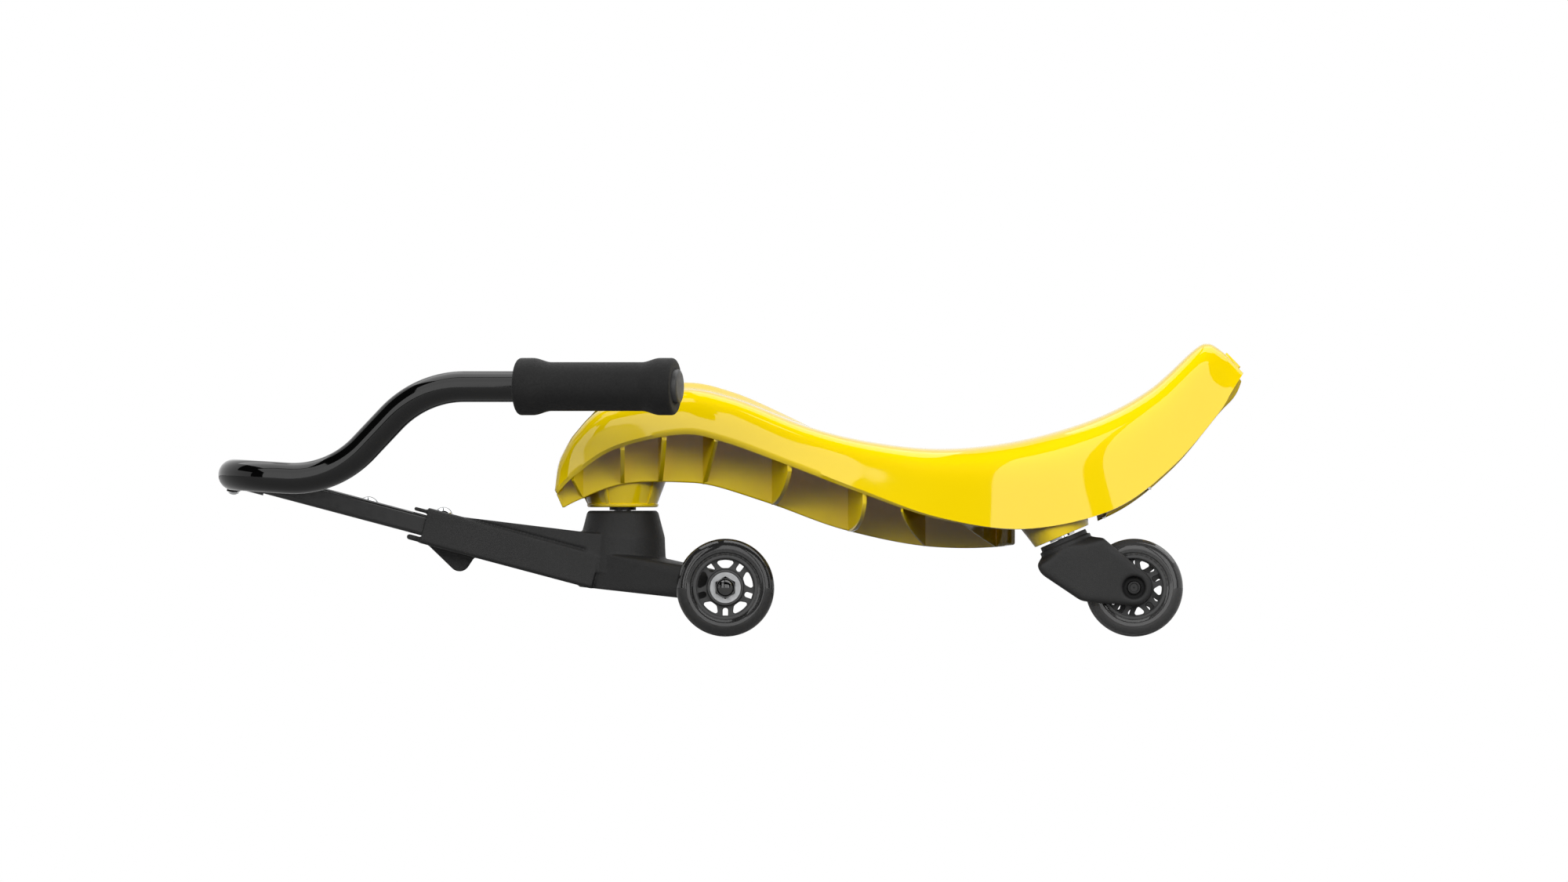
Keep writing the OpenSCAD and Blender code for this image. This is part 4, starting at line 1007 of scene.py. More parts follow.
    def up_to_ceiling(self, start: np.ndarray, place: np.ndarray) -> np.ndarray:
        """End of a boss's wall line that runs up along its axis.

        Args:
            start: local start of the line.
            place: placement of the boss.

        Returns:
            The local end point in the middle of the seat's wall.
        """
        for step in range(self.boss_reach):
            end = start + (0, 0, step)
            x, y, z = placed(end, place)
            if z >= self.level(x, y, self.ceiling_line(y)):
                return end
        return start + (0, 0, self.boss_spread)

    def front_boss_fins(self) -> None:
        """Adds the finned front boss around the steering bolt."""
        place = shift(*self.pivot)
        foot, soft, neck = self.front_boss / 2, 1.4, 0.6
        edge = [(foot - soft + soft * math.sin(a), soft * (1 - math.cos(a)))
                for a in np.linspace(0, math.pi / 2, 5)]
        cone = foot - neck - self.boss_floor * self.front_draft
        top = (cone + self.boss_spread * self.front_draft, self.boss_spread)
        rings = [*edge, (foot, self.boss_floor), (foot - neck, self.boss_floor + neck), top]
        self.boss(rings, self.front_bore, place, self.web_half)
        for k in range(self.fins):
            a = math.radians(self.fin_turn + 360 / self.fins * k)
            out = np.array((math.cos(a), math.sin(a), 0.0))
            along = np.array((-math.sin(a), math.cos(a), 0.0))
            outer = []
            for h in np.linspace(1.0, self.boss_spread, 9):
                r = cone + h * self.front_draft + self.fin_proud * min(1, h / self.fin_ease)
                outer.append(np.array(self.pivot) + out * r + (0, 0, h))
            outer = np.array(outer)
            root = outer - self.fin_root * out
            self.draft.slab(outer, root, along, self.rib, self.fin_soft, SATIN_PAINTED_SHADE_SLOT)

    def caster_bosses(self) -> None:
        """Adds the two leaning bosses above the casters."""
        foot = self.rear_boss / 2
        wide = foot + self.boss_spread * self.rear_draft
        rings = [(foot - 0.8, 0), (foot - 0.2, 0.2), (foot, 0.8), (wide, self.boss_spread)]
        for side in Side:
            self.boss(rings, self.rear_bore, caster_foot(side), self.half_width)

    def tail_pad(self) -> None:
        """Adds the low flat pad on the tail face, with a bevelled rim."""
        x0, z0, x1, z1 = self.stations[-1][:4]
        long, half, high = self.pad
        lean = math.degrees(math.atan2(z0 - z1, x1 - x0))
        place = shift((x0 + x1) / 2, 0, (z0 + z1) / 2) @ turn("Y", lean)
        rows = []
        for inset, level in ((0.0, -1.5), (0.0, high - 0.5), (0.15, high - 0.15), (0.5, high)):
            a, b = long / 2 - inset, half - inset
            r = self.pad_corner
            loop = rounded([(-a, -b, r), (a, -b, r), (a, b, r), (-a, b, r)], 4)
            rows.append([(px, py, level) for px, py in loop])
        self.draft.tube(placed(np.array(rows), place))

    def build(self) -> None:
        """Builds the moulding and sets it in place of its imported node."""
        self.shell()
        self.webs()
        self.posts()
        self.ribs()
        self.front_boss_fins()
        self.caster_bosses()
        self.tail_pad()
        # The second finish darkens the hollow, ribs and bosses with painted shade.
        piece = self.draft.build("seat_moulding", (GLOSS_YELLOW, SATIN_YELLOW_PAINTED_SHADE))
        settle(piece, Body.SEAT.value, "seat_shell")


@dataclass
class SoftMoulding:
    """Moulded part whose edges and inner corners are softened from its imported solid."""

    name: str
    node: str
    body: str
    finish: Finish
    voxel: float = 0.8
    passes: int = 8
    keep: float = 0.3

    def shape(self, draft: Object) -> None:
        """Shapes the fine mesh before its edges are softened; a plain moulding stays as it is.

        Args:
            draft: object with the fine mesh.
        """

    def smooth(self, draft: Object, passes: int) -> bpy.types.SmoothModifier:
        """Softens the fine mesh by smoothing.

        Args:
            draft: object with the fine mesh.
            passes: how often it is smoothed.

        Returns:
            The modifier.
        """
        smooth = draft.modifiers.new("smooth", "SMOOTH")
        smooth.factor = 0.5
        smooth.iterations = passes
        return smooth

    def build(self) -> None:
        """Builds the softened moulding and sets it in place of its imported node."""
        mesh = bpy.data.objects[self.node].data.copy()
        weld(mesh)
        draft = bpy.data.objects.new(self.name + "_draft", mesh)
        bpy.context.scene.collection.objects.link(draft)
        remesh = draft.modifiers.new("remesh", "REMESH")
        remesh.mode = "VOXEL"
        remesh.voxel_size = self.voxel * MM
        draft.data = evaluated(draft)
        draft.modifiers.clear()
        self.shape(draft)
        self.smooth(draft, self.passes)
        thin = draft.modifiers.new("thin", "DECIMATE")
        thin.ratio = self.keep
        soft = evaluated(draft)
        soft.name = self.name
        bpy.data.objects.remove(draft)
        soft.shade_smooth()
        piece = added(self.name, soft, (self.finish,))
        settle(piece, self.body, self.node)


@dataclass
class Fork(SoftMoulding):
    """Caster fork with broad round edges below a round, stepped collar."""

    swivel: Point = (0.0, 0.0, 0.0)
    lean: Point = (-0.390731, 0.0, 0.920505)
    collar: Profile = field(default_factory=lambda: [
        (-30.0, 60.0), (-13.0, 60.0), (-11.5, 24.0), (-8.3, 19.4), (-8.0, 19.25), (-5.4, 19.25),
        (-5.2, 17.5), (0.0, 17.5)])
    crisp: float = -9.0
    broad: int = 60

    def shape(self, draft: Object) -> None:
        """Draws the top in to the stepped collar and rounds all edges below it.

        Args:
            draft: object with the fine mesh.
        """
        axis, middle = np.array(self.lean), np.array(self.swivel)
        points = np.array([v.co for v in draft.data.vertices]) / MM - middle
        level = points @ axis
        across = points - np.outer(level, axis)
        radius = np.linalg.norm(across, axis=1)
        heights, limits = zip(*self.collar)
        share = np.minimum(1.0, np.interp(level, heights, limits) / np.maximum(radius, 1e-6))
        points = (middle + np.outer(level, axis) + across * share[:, None]) * MM
        draft.data.vertices.foreach_set("co", points.ravel())
        group = draft.vertex_groups.new(name="broad")
        group.add(np.nonzero(level < self.crisp)[0].tolist(), 1.0, "REPLACE")
        self.smooth(draft, self.broad).vertex_group = group.name


@dataclass
class Handlebar:
    """Bent tube with a rubber grip and an end plug on each side."""

    pivot_x: float = -77.1
    bar_z: float = 41.7
    bar_slope: float = 14.9
    reach: float = 287.5
    tube: float = 22.2
    cross_half: float = 50.0
    corner_r: float = 42.0
    splay: float = 15.0
    arm_fall: float = 3.6
    arm_l: float = 7.8
    climb: float = 45.8
    low_r: float = 72.0
    high_r: float = 75.0
    grip_z: float = 178.6
    top_l: float = 153.2
    grip_l: float = 116.5
    grip_d: float = 35.0
    grip_bead_d: float = 41.0
    bead_r: float = 3.0
    bead_l: float = 13.0
    cone_l: float = 11.0
    ease_lead: float = 2.0
    ease_more: float = 3.0
    ease_steps: int = 14
    grip_cover: float = 3.0
    plug_d: float = 24.6
    plug_out: float = 3.75
    stem: Point = (9.6, 6.0, 1.0)
    crown: tuple[float, float] = (2.2, 0.3)
    crown_steps: int = 6

    def centre_line(self) -> tuple[np.ndarray, np.ndarray]:
        """Middle line of the tube's left half.

        Returns:
            Its points from the middle of the crossbar, and the placement of the top run's start.
        """
        slope, fall = math.radians(self.bar_slope), math.radians(self.arm_fall)
        cross_x = self.pivot_x - self.reach * math.cos(slope)
        cross_z = self.bar_z + self.reach * math.sin(slope)
        corner = 90 - self.splay
        pitch = math.asin(math.sin(math.radians(corner)) * math.sin(fall))
        climb = math.radians(self.climb)
        dropped = self.corner_r * (1 - math.cos(math.radians(corner))) * math.sin(fall)
        rise = self.grip_z - cross_z + dropped + self.arm_l * math.sin(pitch)
        rise -= self.low_r * (math.cos(pitch) - math.cos(climb)) + self.high_r * (1 - math.cos(climb))
        moves = ((0.0, self.corner_r, corner, self.cross_half),
                 (90.0, self.low_r, self.climb + math.degrees(pitch), self.arm_l),
                 (180.0, self.high_r, self.climb, rise / math.sin(climb)))
        pose = shift(cross_x, 0, cross_z) @ turn("Y", self.arm_fall) @ turn("X", 90)
        points = [pose[:3, 3]]
        for roll, radius, angle, length in moves:
            pose = pose @ shift(0, 0, length) @ turn("Z", roll)
            steps = max(8, round(angle / 2.5))
            start = pose
            for k in range(steps + 1):
                a = math.radians(angle * k / steps)
                pose = start @ shift(radius * (1 - math.cos(a)), 0, radius * math.sin(a))
                points.append(pose[:3, 3])
            pose = pose @ turn("Y", angle)
        points.append((pose @ shift(0, 0, self.top_l))[:3, 3])
        return np.array(points), pose

    def tube_rows(self, line: np.ndarray, steps: int = 56) -> np.ndarray:
        """Circles square to a middle line, carried along it without twist.

        Args:
            line: points of the middle line.
            steps: facets around the tube.

        Returns:
            Rows of points.
        """
        along = np.gradient(line, axis=0)
        along /= np.linalg.norm(along, axis=1, keepdims=True)
        across = np.cross(along[0], (0.0, 0.0, 1.0))
        a = full_turn(steps)[:, None]
        rows = []
        for middle, ahead in zip(line, along):
            across = across - ahead * (across @ ahead)
            across /= np.linalg.norm(across)
            up = np.cross(ahead, across)
            rows.append(middle + self.tube / 2 * (np.cos(a) * across + np.sin(a) * up))
        return np.array(rows)

    def grip_outline(self) -> Profile:
        """Outline of a grip: a bead at each end that runs out to the body in an S-curve.

        Returns:
            The closed outline as radius and height.
        """
        bead, body, inner = self.grip_bead_d / 2, self.grip_d / 2, self.tube / 2
        arc = np.linspace(0, math.pi / 2, 8)
        edge = [(bead - self.bead_r + self.bead_r * math.sin(a), self.bead_r * (1 - math.cos(a)))
                for a in arc]
        n, long = self.ease_steps, self.cone_l + self.ease_more
        ease = [(body + (bead - body) * (0.5 + 0.5 * math.cos(math.pi * k / n)),
                 self.bead_l - self.ease_lead + long * k / n) for k in range(n + 1)]
        front = edge + ease
        rear = [(r, self.grip_l - z) for r, z in reversed(front)]
        seat, cover = self.plug_d / 2, self.grip_l - self.grip_cover
        back = [(seat + 0.6, self.grip_l), (seat, self.grip_l - 0.6), (seat, cover), (inner, cover)]
        return front + rear + back + [(inner, 0.8), (inner + 0.8, 0.0)]

    def plug_outline(self) -> Profile:
        """Outline of an end plug: a crowned head with a bevelled rim, on a short stem.

        Returns:
            The closed outline as radius and height.
        """
        r, foot, top = self.plug_d / 2, self.grip_l - self.grip_cover, self.grip_l + self.plug_out
        inset, high = self.crown
        n = self.crown_steps
        crown = [(r - inset - (r - inset) * k / n, top - high * (1 - k / n) ** 2) for k in range(n + 1)]
        wide, long, bevel = self.stem
        end = foot - long
        stem = [(0.0, end), (wide - bevel, end), (wide, end + bevel), (wide, foot)]
        rim = [(r, foot), (r, top - 1.5), (r - 0.25, top - 1.0), (r - 1.2, top - 0.45)]
        return stem + rim + crown

    def build(self) -> None:
        """Builds tube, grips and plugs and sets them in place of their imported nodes."""
        line, top = self.centre_line()
        whole = np.concatenate((line[:0:-1] * (1, -1, 1), line))
        draft = MeshDraft()
        draft.tube(self.tube_rows(whole))
        tube = draft.build("handlebar_tube", (GLOSS_COAT,))
        settle(tube, Body.HANDLEBAR.value, "handlebar")
        place = top @ shift(0, 0, self.top_l - self.grip_l + self.grip_cover)
        for side in Side:
            at = np.diag((1.0, -side.value, 1.0, 1.0)) @ place
            for word, outline, finish, slot in (
                    ("grip", self.grip_outline(), SOFT_RUBBER, Slot.GRIP),
                    ("grip_plug", self.plug_outline(), PLAIN_BLACK, Slot.FRAME)):
                draft = MeshDraft()
                draft.lathe(outline, at)
                piece = draft.build(f"{word}_{side.label}_dressed", (finish,))
                settle(piece, Body.HANDLEBAR.value, f"{word}_{side.label}")


@dataclass
class Wheel:
    """Cast tyre on a pierced hub with a toothed core."""

    place: np.ndarray
    axle: Axle
    side: Side
    turned: float = 0.0
    tyre_d: float = 70.0
    tyre_w: float = 24.0
    shoulder: float = 7.5
    tread_fall: float = 0.6
    lip: tuple[Point, ...] = ((0.0, 1.4, 0.0), (1.7, 1.1, 0.5), (2.1, 0.1, 0.4), (4.5, 0.0, 4.0))
    hub_d: float = 46.4
    hub_w: float = 22.0
    web: float = 13.0
    rim: float = 2.4
    boss_d: float = 26.0
    bore: float = 7.0
    bearing_d: float = 22.0
    bearing_w: float = 7.0
    oval: Point = (17.2, 6.4, 13.9)
    oval_foot: float = 2.6
    oval_fall: float = 1.9
    oval_radii: Point = (3.0, 1.4, 17.5)
    slot: Point = (17.2, 5.4, 3.8)
    slot_radius: float = 0.3
    slot_round: float = 2.2
    openings: int = 5
    soft: float = 0.45
    teeth: int = 40
    tooth: float = 1.7
    facets: int = 120

    def named(self, part: str) -> str:
        """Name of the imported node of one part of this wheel."""
        return f"{self.axle.value}_{part}_{self.side.label}"

    def tyre(self) -> Object:
        """Tyre with round shoulders and a lip over the hub's rim.

        Returns:
            The tyre.
        """
        r, w, inner = self.tyre_d / 2, self.tyre_w / 2, self.hub_d / 2
        half = [(inner + out, w - down, soft) for out, down, soft in self.lip]
        half.append((r, w - self.tread_fall, self.shoulder))
        draft = MeshDraft()
        draft.lathe(rounded(mirrored(half), 9), self.place, self.facets)
        cast = SMOKE_POLYURETHANE if self.axle is Axle.FRONT else CLEAR_POLYURETHANE
        return draft.build(self.named("tyre") + "_dressed", (cast,), sharp=40.0)

    def outline(self, radius: float) -> np.ndarray:
        """Circle as points across and up."""
        a = full_turn(self.facets)
        return np.stack((radius * np.cos(a), radius * np.sin(a)), axis=1)

    def cuts(self) -> list[np.ndarray]:
        """Outlines of the openings: broad ovals, flatter outside, and slots with a round inner end.

        Returns:
            A list of outlines.
        """
        mid, high, wide = self.oval
        low, top, half = mid - high / 2, mid + high / 2, wide / 2
        foot, fall, (inner, corner, outer) = self.oval_foot, self.oval_fall, self.oval_radii
        oval = rounded([(low, -foot, inner), (top - fall, -half, corner), (top, 0.0, outer),
                        (top - fall, half, corner), (low, foot, inner)], 6)
        mid, high, wide = self.slot
        low, top, half = mid - high / 2, mid + high / 2, wide / 2
        inner, corner = wide / self.slot_round, self.slot_radius
        slit = rounded([(low, -half, inner), (top, -half, corner), (top, half, corner),
                        (low, half, inner)], 6)
        cuts = []
        for k in range(self.openings):
            for outline, offset in ((oval, 0.0), (slit, 180.0 / self.openings)):
                a = math.radians(90 + self.turned + 360 / self.openings * k + offset)
                spin = np.array(((math.cos(a), math.sin(a)), (-math.sin(a), math.cos(a))))
                cuts.append(np.array(outline) @ spin)
        return cuts

    def widened(self, loop: np.ndarray) -> np.ndarray:
        """Opening grown all round by the softness of its edge.

        Args:
            loop: outline of an opening.

        Returns:
            The wider outline.
        """
        along = np.roll(loop, -1, axis=0) - np.roll(loop, 1, axis=0)
        out = np.stack((along[:, 1], -along[:, 0]), axis=1)
        out *= self.soft / np.linalg.norm(out, axis=1, keepdims=True)
        away = np.sum(out * (loop - loop.mean(axis=0)))
        return loop + out * math.copysign(1.0, away)

    def solid(self, spot: np.ndarray, loops: Sequence[np.ndarray]) -> bool:
        """Whether a spot of the web lies between its outlines and outside all openings.

        Args:
            spot: place across and up.
            loops: outlines of the web.

        Returns:
            True where an odd number of outlines surrounds the spot.
        """
        around = 0
        for loop in loops:
            (x, y), (x2, y2) = (loop - spot).T, (np.roll(loop, -1, axis=0) - spot).T
            cross = (y > 0) != (y2 > 0)
            meets = x - y * (x2 - x) / np.where(cross, y2 - y, 1.0)
            around += int(np.count_nonzero(meets[cross] > 0) % 2)
        return around % 2 == 1

    def web_plate(self, draft: MeshDraft) -> None:
        """Adds the pierced web between boss and rim, with softened opening edges.

        Args:
            draft: draft of the hub.
        """
        plain = [self.outline(self.hub_d / 2 - self.rim / 2), self.outline(self.bearing_d / 2 + 1)]
        cuts = self.cuts()
        faces = plain + [self.widened(loop) for loop in cuts]
        flat = np.concatenate(faces)
        pairs, start = [], 0
        for loop in faces:
            pairs += [(start + k, start + (k + 1) % len(loop)) for k in range(len(loop))]
            start += len(loop)
        triangles = delaunay_2d_cdt([Vector(p) for p in flat.tolist()], pairs, [], 0, 1e-6)[2]
        triangles = [t for t in triangles if self.solid(flat[list(t)].mean(axis=0), faces)]
        top, wall = self.web / 2, self.web / 2 - self.soft
        for z in (top, -top):
            start = draft.add(placed(np.insert(flat, 2, z, axis=1), self.place))
            for triangle in triangles:
                draft.face([start + i for i in triangle])
        for cut, face in zip(plain + cuts, faces):
            rows = ((face, top), (cut, wall), (cut, -wall), (face, -top))
            rows = np.array([np.insert(loop, 2, z, axis=1) for loop, z in rows])
            draft.grid(placed(rows, self.place), ring_columns=True)

    def hub(self) -> Object:
        """Hub with rim, toothed core, pierced web and bearing boss.

        Returns:
            The hub.
        """
        draft = MeshDraft()
        self.web_plate(draft)
        half, rim, core = self.hub_w / 2, self.hub_d / 2, self.hub_d / 2 - self.rim
        ring = [(core, -half, 0.5), (rim, -half, 0.3), (rim, half, 0.3), (core, half, 0.5)]
        draft.lathe(rounded(ring, 3), self.place, self.facets)
        seat, boss = self.bearing_d / 2, self.boss_d / 2
        step = half - self.bearing_w
        upper = [(self.bore, step, 0.0), (seat, step, 0.0), (seat, half, 0.4), (boss, half, 0.9),
                 (boss + 0.5, self.web / 2 - 0.5, 0.0)]
        draft.lathe(rounded(mirrored(upper), 4), self.place, self.facets)
        self.core_teeth(draft)
        return draft.build(self.named("hub") + "_dressed", (PLAIN_BLACK,), sharp=32.0)

    def core_teeth(self, draft: MeshDraft) -> None:
        """Adds the teeth around the hub's rim that key the cast tyre to it.

        Args:
            draft: draft of the hub.
        """
        inner, outer, half = self.hub_d / 2 - 0.4, self.hub_d / 2 + self.tooth, self.hub_w / 2 - 2.5
        step = math.pi / self.teeth
        loop = [(inner, -0.62), (outer, -0.5), (outer, 0.5), (inner, 0.62)]
        for k in range(self.teeth):
            a = 2 * step * k
            rows = [[(r * math.cos(a + s * step), r * math.sin(a + s * step), z) for r, s in loop]
                    for z in (-half, half)]
            draft.tube(placed(np.array(rows), self.place))

    def build(self) -> None:
        """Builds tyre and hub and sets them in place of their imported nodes."""
        kind = Body.FRONT_WHEEL if self.axle is Axle.FRONT else Body.REAR_WHEEL
        settle(self.tyre(), kind.on(self.side), self.named("tyre"))
        settle(self.hub(), kind.on(self.side), self.named("hub"))


@dataclass
class CapNuts:
    """Pair of domed nuts on the front axle, with bevelled corners."""

    seat: float = 103.3
    across: float = 14.0
    high: float = 6.0
    dome: float = 13.0
    bevel: float = 0.55
    per_side: int = 14
    corner_up: float = 30.0

    def rings(self) -> np.ndarray:
        """Rings of one nut from its foot to the top of its dome.

        Returns:
            Rows of points in the nut's own frame.
        """
        sector = np.linspace(0, 60, self.per_side, endpoint=False)
        angle = np.concatenate([sector + 60 * k for k in range(6)])
        hexagon = self.across / 2 / np.cos(np.radians(angle % 60 - 30))
        start = self.across / 2 - 0.3
        rows = [(hexagon - 0.4, 0 * hexagon), (hexagon, 0 * hexagon + 0.3)]
        rows.append((hexagon, self.high - self.bevel * (hexagon - start)))
        rows.append((0 * hexagon + start, 0 * hexagon + self.high))
        for k in range(13):
            a = math.radians(90 * k / 12)
            level = self.high + self.dome / 2 * math.sin(a)
            rows.append((0 * hexagon + self.dome / 2 * math.cos(a), level + 0 * hexagon))
        c, s = np.cos(np.radians(angle)), np.sin(np.radians(angle))
        return np.array([np.stack((r * c, r * s, z), axis=1) for r, z in rows])

    def build(self) -> None:
        """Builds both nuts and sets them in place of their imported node."""
        draft = MeshDraft()
        x, _, z = FRONT_AXLE
        for side in Side:
            place = shift(x, side.value * self.seat, z) @ turn("X", -90 * side.value)
            draft.tube(placed(self.rings(), place @ turn("Z", self.corner_up)))
        nuts = draft.build("cap_nuts", (DARK_STEEL,), sharp=24.0)
        settle(nuts, Body.FRONT_FRAME.value, "axle_nuts")


@dataclass
class SocketBolt:
    """Axle bolt of a caster with a dark head, a polished edge and a round socket."""

    place: np.ndarray
    side: Side
    shaft: float = 3.0
    head: float = 5.0
    high: float = 4.1
    reach: float = 20.5
    cap: float = 4.5
    bevel: float = 0.7
    socket: float = 3.1
    deep: float = 3.0
    edge: float = 0.8

    def rings(self, steps: int = 48) -> np.ndarray:
        """Rings of the bolt from its end over the head into the socket.

        Args:
            steps: points of a ring.

        Returns:
            Rows of points in the bolt's own frame.
        """
        foot, end = self.reach - self.cap, self.cap - self.high - self.reach
        top = foot + self.high
        floor = top - self.deep
        outline = [(self.shaft - 0.5, end), (self.shaft, end + 0.5), (self.shaft, foot),
                   (self.head, foot), (self.head, top - self.bevel), (self.head - self.bevel, top),
                   (self.socket, top), (self.socket - 0.3, floor), (0.6, floor), (0.3, floor - 0.4)]
        a = full_turn(steps)
        rings = [np.stack((r * np.cos(a), r * np.sin(a), 0 * a + z), axis=1) for r, z in outline]
        return np.array(rings)

    def build(self) -> None:
        """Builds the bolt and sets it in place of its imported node."""
        draft = MeshDraft()
        draft.tube(placed(self.rings(), self.place))
        top = self.reach - self.cap + self.high
        edge = [(self.socket, top - 0.3, 0.0), (self.socket + self.edge, top - 0.3, 0.0),
                (self.socket + self.edge, top + 0.25, 0.2), (self.socket, top + 0.25, 0.2)]
        draft.lathe(rounded(edge, 4), self.place, steps=64, slot=1)
        bolt = draft.build(f"rear_bolt_{self.side.label}_dressed", (BLACK_OXIDE, CHROME), sharp=30.0)
        settle(bolt, Body.CASTER.on(self.side), f"rear_bolt_{self.side.label}")


@dataclass
class Hardware:
    """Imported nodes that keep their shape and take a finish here."""

    finishes: dict[str, Finish] = field(default_factory=lambda: {
        "pivot_insert": BRASS, "caster_inserts": BRASS,
        "kingpin": ZINC, "pivot_spacer": PLAIN_BLACK, "pivot_washer": ZINC, "pivot_bushes": ZINC,
        "caster_bolts": ZINC, "caster_washers": CHROME,
        "front_axle": ZINC, "axle_washers": ZINC,
        "clamp_bolt": CHROME, "clamp_nut": ZINC, "stop_screw": CHROME, "saddle_bolts": CHROME,
        "extension_bar": SATIN_COAT, "saddle": SATIN_COAT, "bar_glide": PLAIN_BLACK,
    })
    paired: tuple[str, ...] = ("rear_nut", "rear_sleeves", "fork_bearings", "front_spacer")

    def build(self) -> None:
        """Gives each of these nodes its finish."""
        for side in Side:
            self.finishes.update({f"{name}_{side.label}": ZINC for name in self.paired})
        for axle, (x, _, z) in ((Axle.FRONT, FRONT_AXLE), (Axle.REAR, REAR_AXLE)):
            turned = TurnedFinish(f"turned_steel_{axle.value}", (0.33, 0.335, 0.34), (0.4, 0.405, 0.41),
                                  (0.28, 0.4), 900.0, 0.012, 60.0, METAL, (x, z))
            for side in Side:
                self.finishes[f"{axle.value}_bearings_{side.label}"] = turned
        for node, finish in self.finishes.items():
            mesh = bpy.data.objects[node].data
            mesh.materials.clear()
            mesh.materials.append(finish.material())
            LOG.info("%s keeps its shape in %s", node, finish.name)


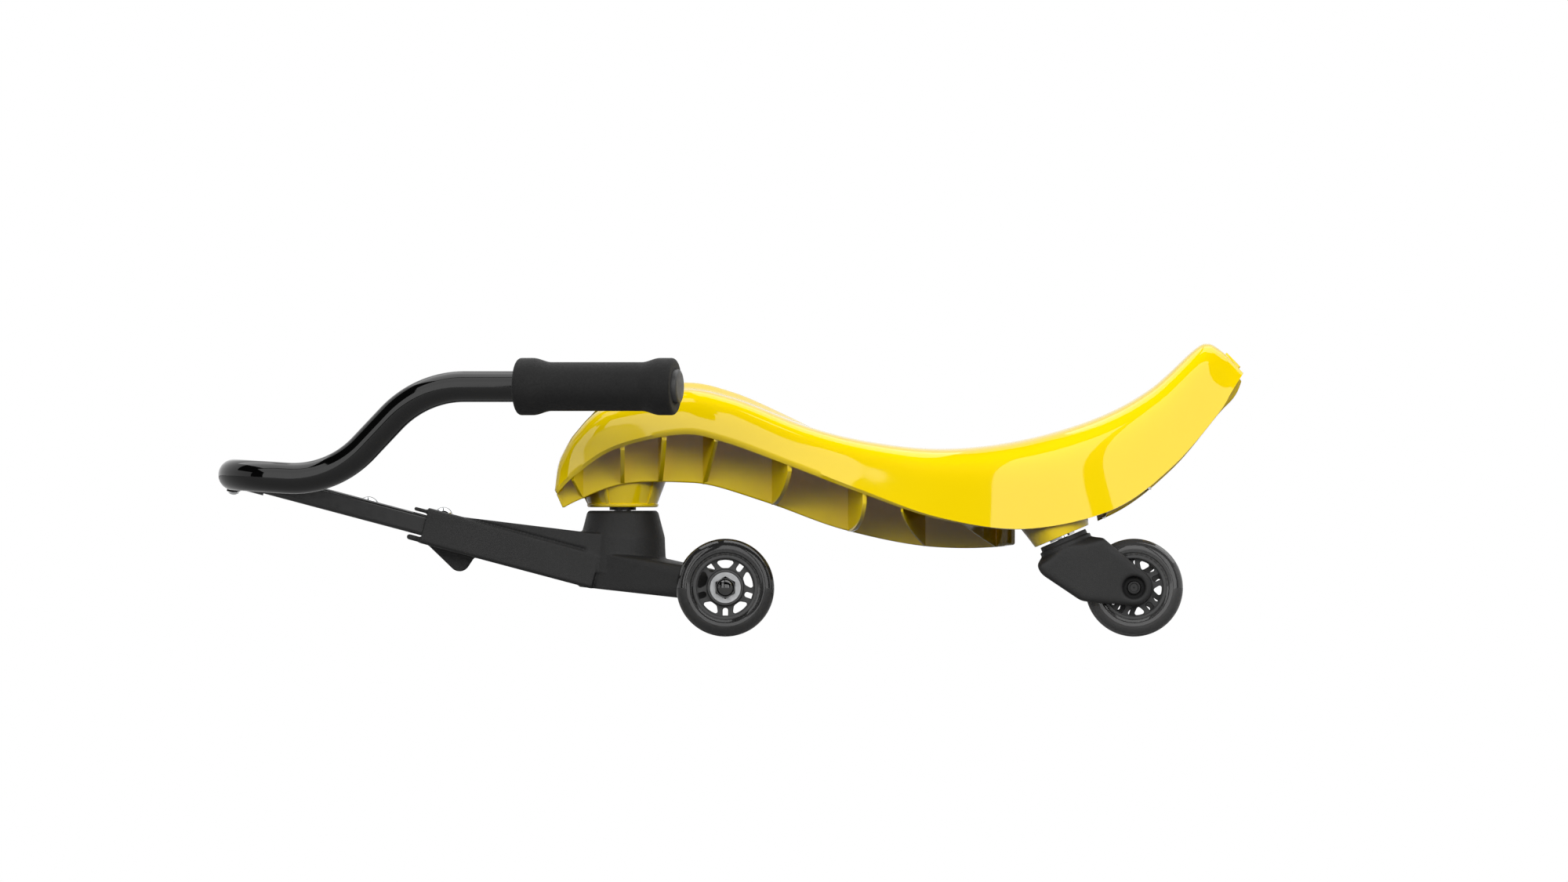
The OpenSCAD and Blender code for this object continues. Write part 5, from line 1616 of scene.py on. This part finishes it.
@dataclass
class Studio:
    """Pale floor, white surroundings, soft panels and a level camera from the rider's left."""

    # Spans are ends along X and lines are folds as Y and Z, in metres.
    view_wide: float = 1.12
    view_centre: tuple[float, float] = (0.03808, 0.13972)
    diffuse_world: float = 0.03
    panels: Line = ((-3.4, -1.75), (-1.4, -0.735), (-0.215, 0.877), (1.154, 3.42))
    panel_line: Line = ((-2.9, 0.0), (-2.9, 2.6))
    fill_span: tuple[float, float] = (-6.5, 6.5)
    fill_line: Line = ((-2.9, 0.8), (-2.9, 2.6))
    fill_glow: float = 4.0
    far_line: Line = ((2.9, 0.5), (2.9, 2.2))
    far_glow: float = 2.0
    hoods: Line = ((-3.4, -1.25), (-1.25, 5.0))
    hood_line: Line = ((-2.9, 2.6), (-1.1, 3.84))
    glow: float = 2.2
    hood_glow: float = 2.0
    # Each cloth: its two ends along X, and the Y that its top reaches back to.
    cloths: tuple[Point, ...] = (
        (-8.0, -2.5, 1.8), (-2.5, -0.62, -0.9), (-0.62, -0.12, 1.8), (-0.12, 8.0, -0.9))
    cloth_line: Line = ((-3.1, 0.0), (-3.1, 4.0))
    backs: Line = ((-2.5, -0.62), (-0.12, 6.0))
    back_line: Line = ((-0.9, 4.0), (3.4, 3.4))
    back_glow: float = 2.6
    floor_half: float = 6.0
    camera_away: float = 4.0

    def world(self) -> None:
        """White surroundings that light the object at a plain level."""
        world = bpy.data.worlds.new("studio")
        bpy.context.scene.world = world
        world.use_nodes = True
        nodes, links = world.node_tree.nodes, world.node_tree.links
        rays = nodes.new("ShaderNodeLightPath")
        seen = rays.outputs["Is Camera Ray"]
        for name in ("Is Glossy Ray", "Is Transmission Ray"):
            either = nodes.new("ShaderNodeMath")
            either.operation = "MAXIMUM"
            links.new(seen, either.inputs[0])
            links.new(rays.outputs[name], either.inputs[1])
            seen = either.outputs["Value"]
        level = nodes.new("ShaderNodeMapRange")
        level.inputs["To Min"].default_value = self.diffuse_world
        level.inputs["To Max"].default_value = 1.0
        links.new(seen, level.inputs["Value"])
        nodes["Background"].inputs["Color"].default_value = (1, 1, 1, 1)
        links.new(level.outputs["Result"], nodes["Background"].inputs["Strength"])

    def sheet(self, name: str, span: tuple[float, float], line: Line) -> Object:
        """Adds a folded sheet of the stage.

        Args:
            name: name of the sheet.
            span: its two ends along X, in metres.
            line: Y and Z of its folds, in metres.

        Returns:
            The sheet.
        """
        mesh = bpy.data.meshes.new(name)
        points = [(x, y, z) for y, z in line for x in span]
        faces = [(2 * k, 2 * k + 1, 2 * k + 3, 2 * k + 2) for k in range(len(line) - 1)]
        mesh.from_pydata(points, [], faces)
        sheet = bpy.data.objects.new(name, mesh)
        bpy.context.scene.collection.objects.link(sheet)
        return sheet

    def lit(self, sheet: Object, strength: float) -> None:
        """Makes a sheet glow evenly, unseen by the camera.

        Args:
            sheet: the sheet.
            strength: its radiance.
        """
        material = bpy.data.materials.new(sheet.name)
        material.use_nodes = True
        nodes = material.node_tree.nodes
        glow = nodes.new("ShaderNodeEmission")
        glow.inputs["Strength"].default_value = strength
        surface = nodes["Material Output"].inputs["Surface"]
        material.node_tree.links.new(glow.outputs["Emission"], surface)
        sheet.data.materials.append(material)
        sheet.visible_camera = False
        sheet.visible_shadow = False

    def floor(self) -> None:
        """Adds the pale floor, which throws no light back up."""
        half = self.floor_half
        floor = self.sheet("floor", (-half, half), ((-half, 0), (half, 0)))
        floor.data.materials.append(PALE_FLOOR.material())
        floor.visible_diffuse = False

    def lights(self) -> None:
        """Adds the glowing panels before, above and behind the object, and the dark cloth between them.

        Some are seen only in reflections and some only light the object.
        """
        for i, span in enumerate(self.panels):
            panel = self.sheet(f"front_panel_{i}", span, self.panel_line)
            self.lit(panel, self.glow)
            panel.visible_diffuse = False
        for i, span in enumerate(self.hoods):
            hood = self.sheet(f"hood_{i}", span, self.hood_line)
            self.lit(hood, self.hood_glow)
            hood.visible_glossy = i == 0
        for name, line, glow in (("fill", self.fill_line, self.fill_glow),
                                 ("far_fill", self.far_line, self.far_glow)):
            fill = self.sheet(name, self.fill_span, line)
            self.lit(fill, glow)
            fill.visible_glossy = False
        for i, span in enumerate(self.backs):
            behind = self.sheet(f"back_panel_{i}", span, self.back_line)
            self.lit(behind, self.back_glow)
            behind.visible_diffuse = False
        for i, (start, end, back) in enumerate(self.cloths):
            fold = (back, self.cloth_line[-1][1])
            cloth = self.sheet(f"cloth_{i}", (start, end), (*self.cloth_line, fold))
            cloth.data.materials.append(DARK_CLOTH.material())
            cloth.visible_camera = cloth.visible_diffuse = False
            cloth.visible_transmission = cloth.visible_shadow = False

    def camera(self) -> None:
        """Adds the level camera without perspective."""
        lens = bpy.data.cameras.new("side_camera")
        lens.type = "ORTHO"
        lens.ortho_scale = self.view_wide
        camera = bpy.data.objects.new("side_camera", lens)
        camera.location = (self.view_centre[0], -self.camera_away, self.view_centre[1])
        camera.rotation_euler = (math.pi / 2, 0, 0)
        bpy.context.scene.collection.objects.link(camera)
        bpy.context.scene.camera = camera

    def build(self) -> None:
        """Builds the whole stage."""
        self.world()
        self.floor()
        self.lights()
        self.camera()
        bpy.context.scene.view_settings.view_transform = "Standard"
        LOG.info("stage is set")


def main() -> None:
    """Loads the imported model, dresses it and reports each piece."""
    logging.basicConfig(level=logging.INFO, format="%(name)s: %(message)s")
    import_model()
    SeatMoulding().build()
    SoftMoulding("front_frame_moulding", "front_frame", Body.FRONT_FRAME.value, GRAINED_BLACK,
                 voxel=0.7, passes=5).build()
    for side in Side:
        x, y, z = CASTER
        Fork(f"fork_{side.label}_moulding", f"fork_{side.label}", Body.CASTER.on(side), GRAINED_BLACK,
             voxel=0.6, passes=4, swivel=(x, side.value * y, z)).build()
    Handlebar().build()
    for side in Side:
        x, y, z = FRONT_AXLE
        Wheel(shift(x, side.value * y, z) @ turn("X", 90), Axle.FRONT, side).build()
        rear = caster_foot(side) @ shift(*TRAIL)
        Wheel(rear @ turn("X", 90), Axle.REAR, side, REAR_TURN[side]).build()
        SocketBolt(rear @ turn("X", -90 * side.value), side).build()
    CapNuts().build()
    Hardware().build()
    Studio().build()


if __name__ == "__main__":
    main()
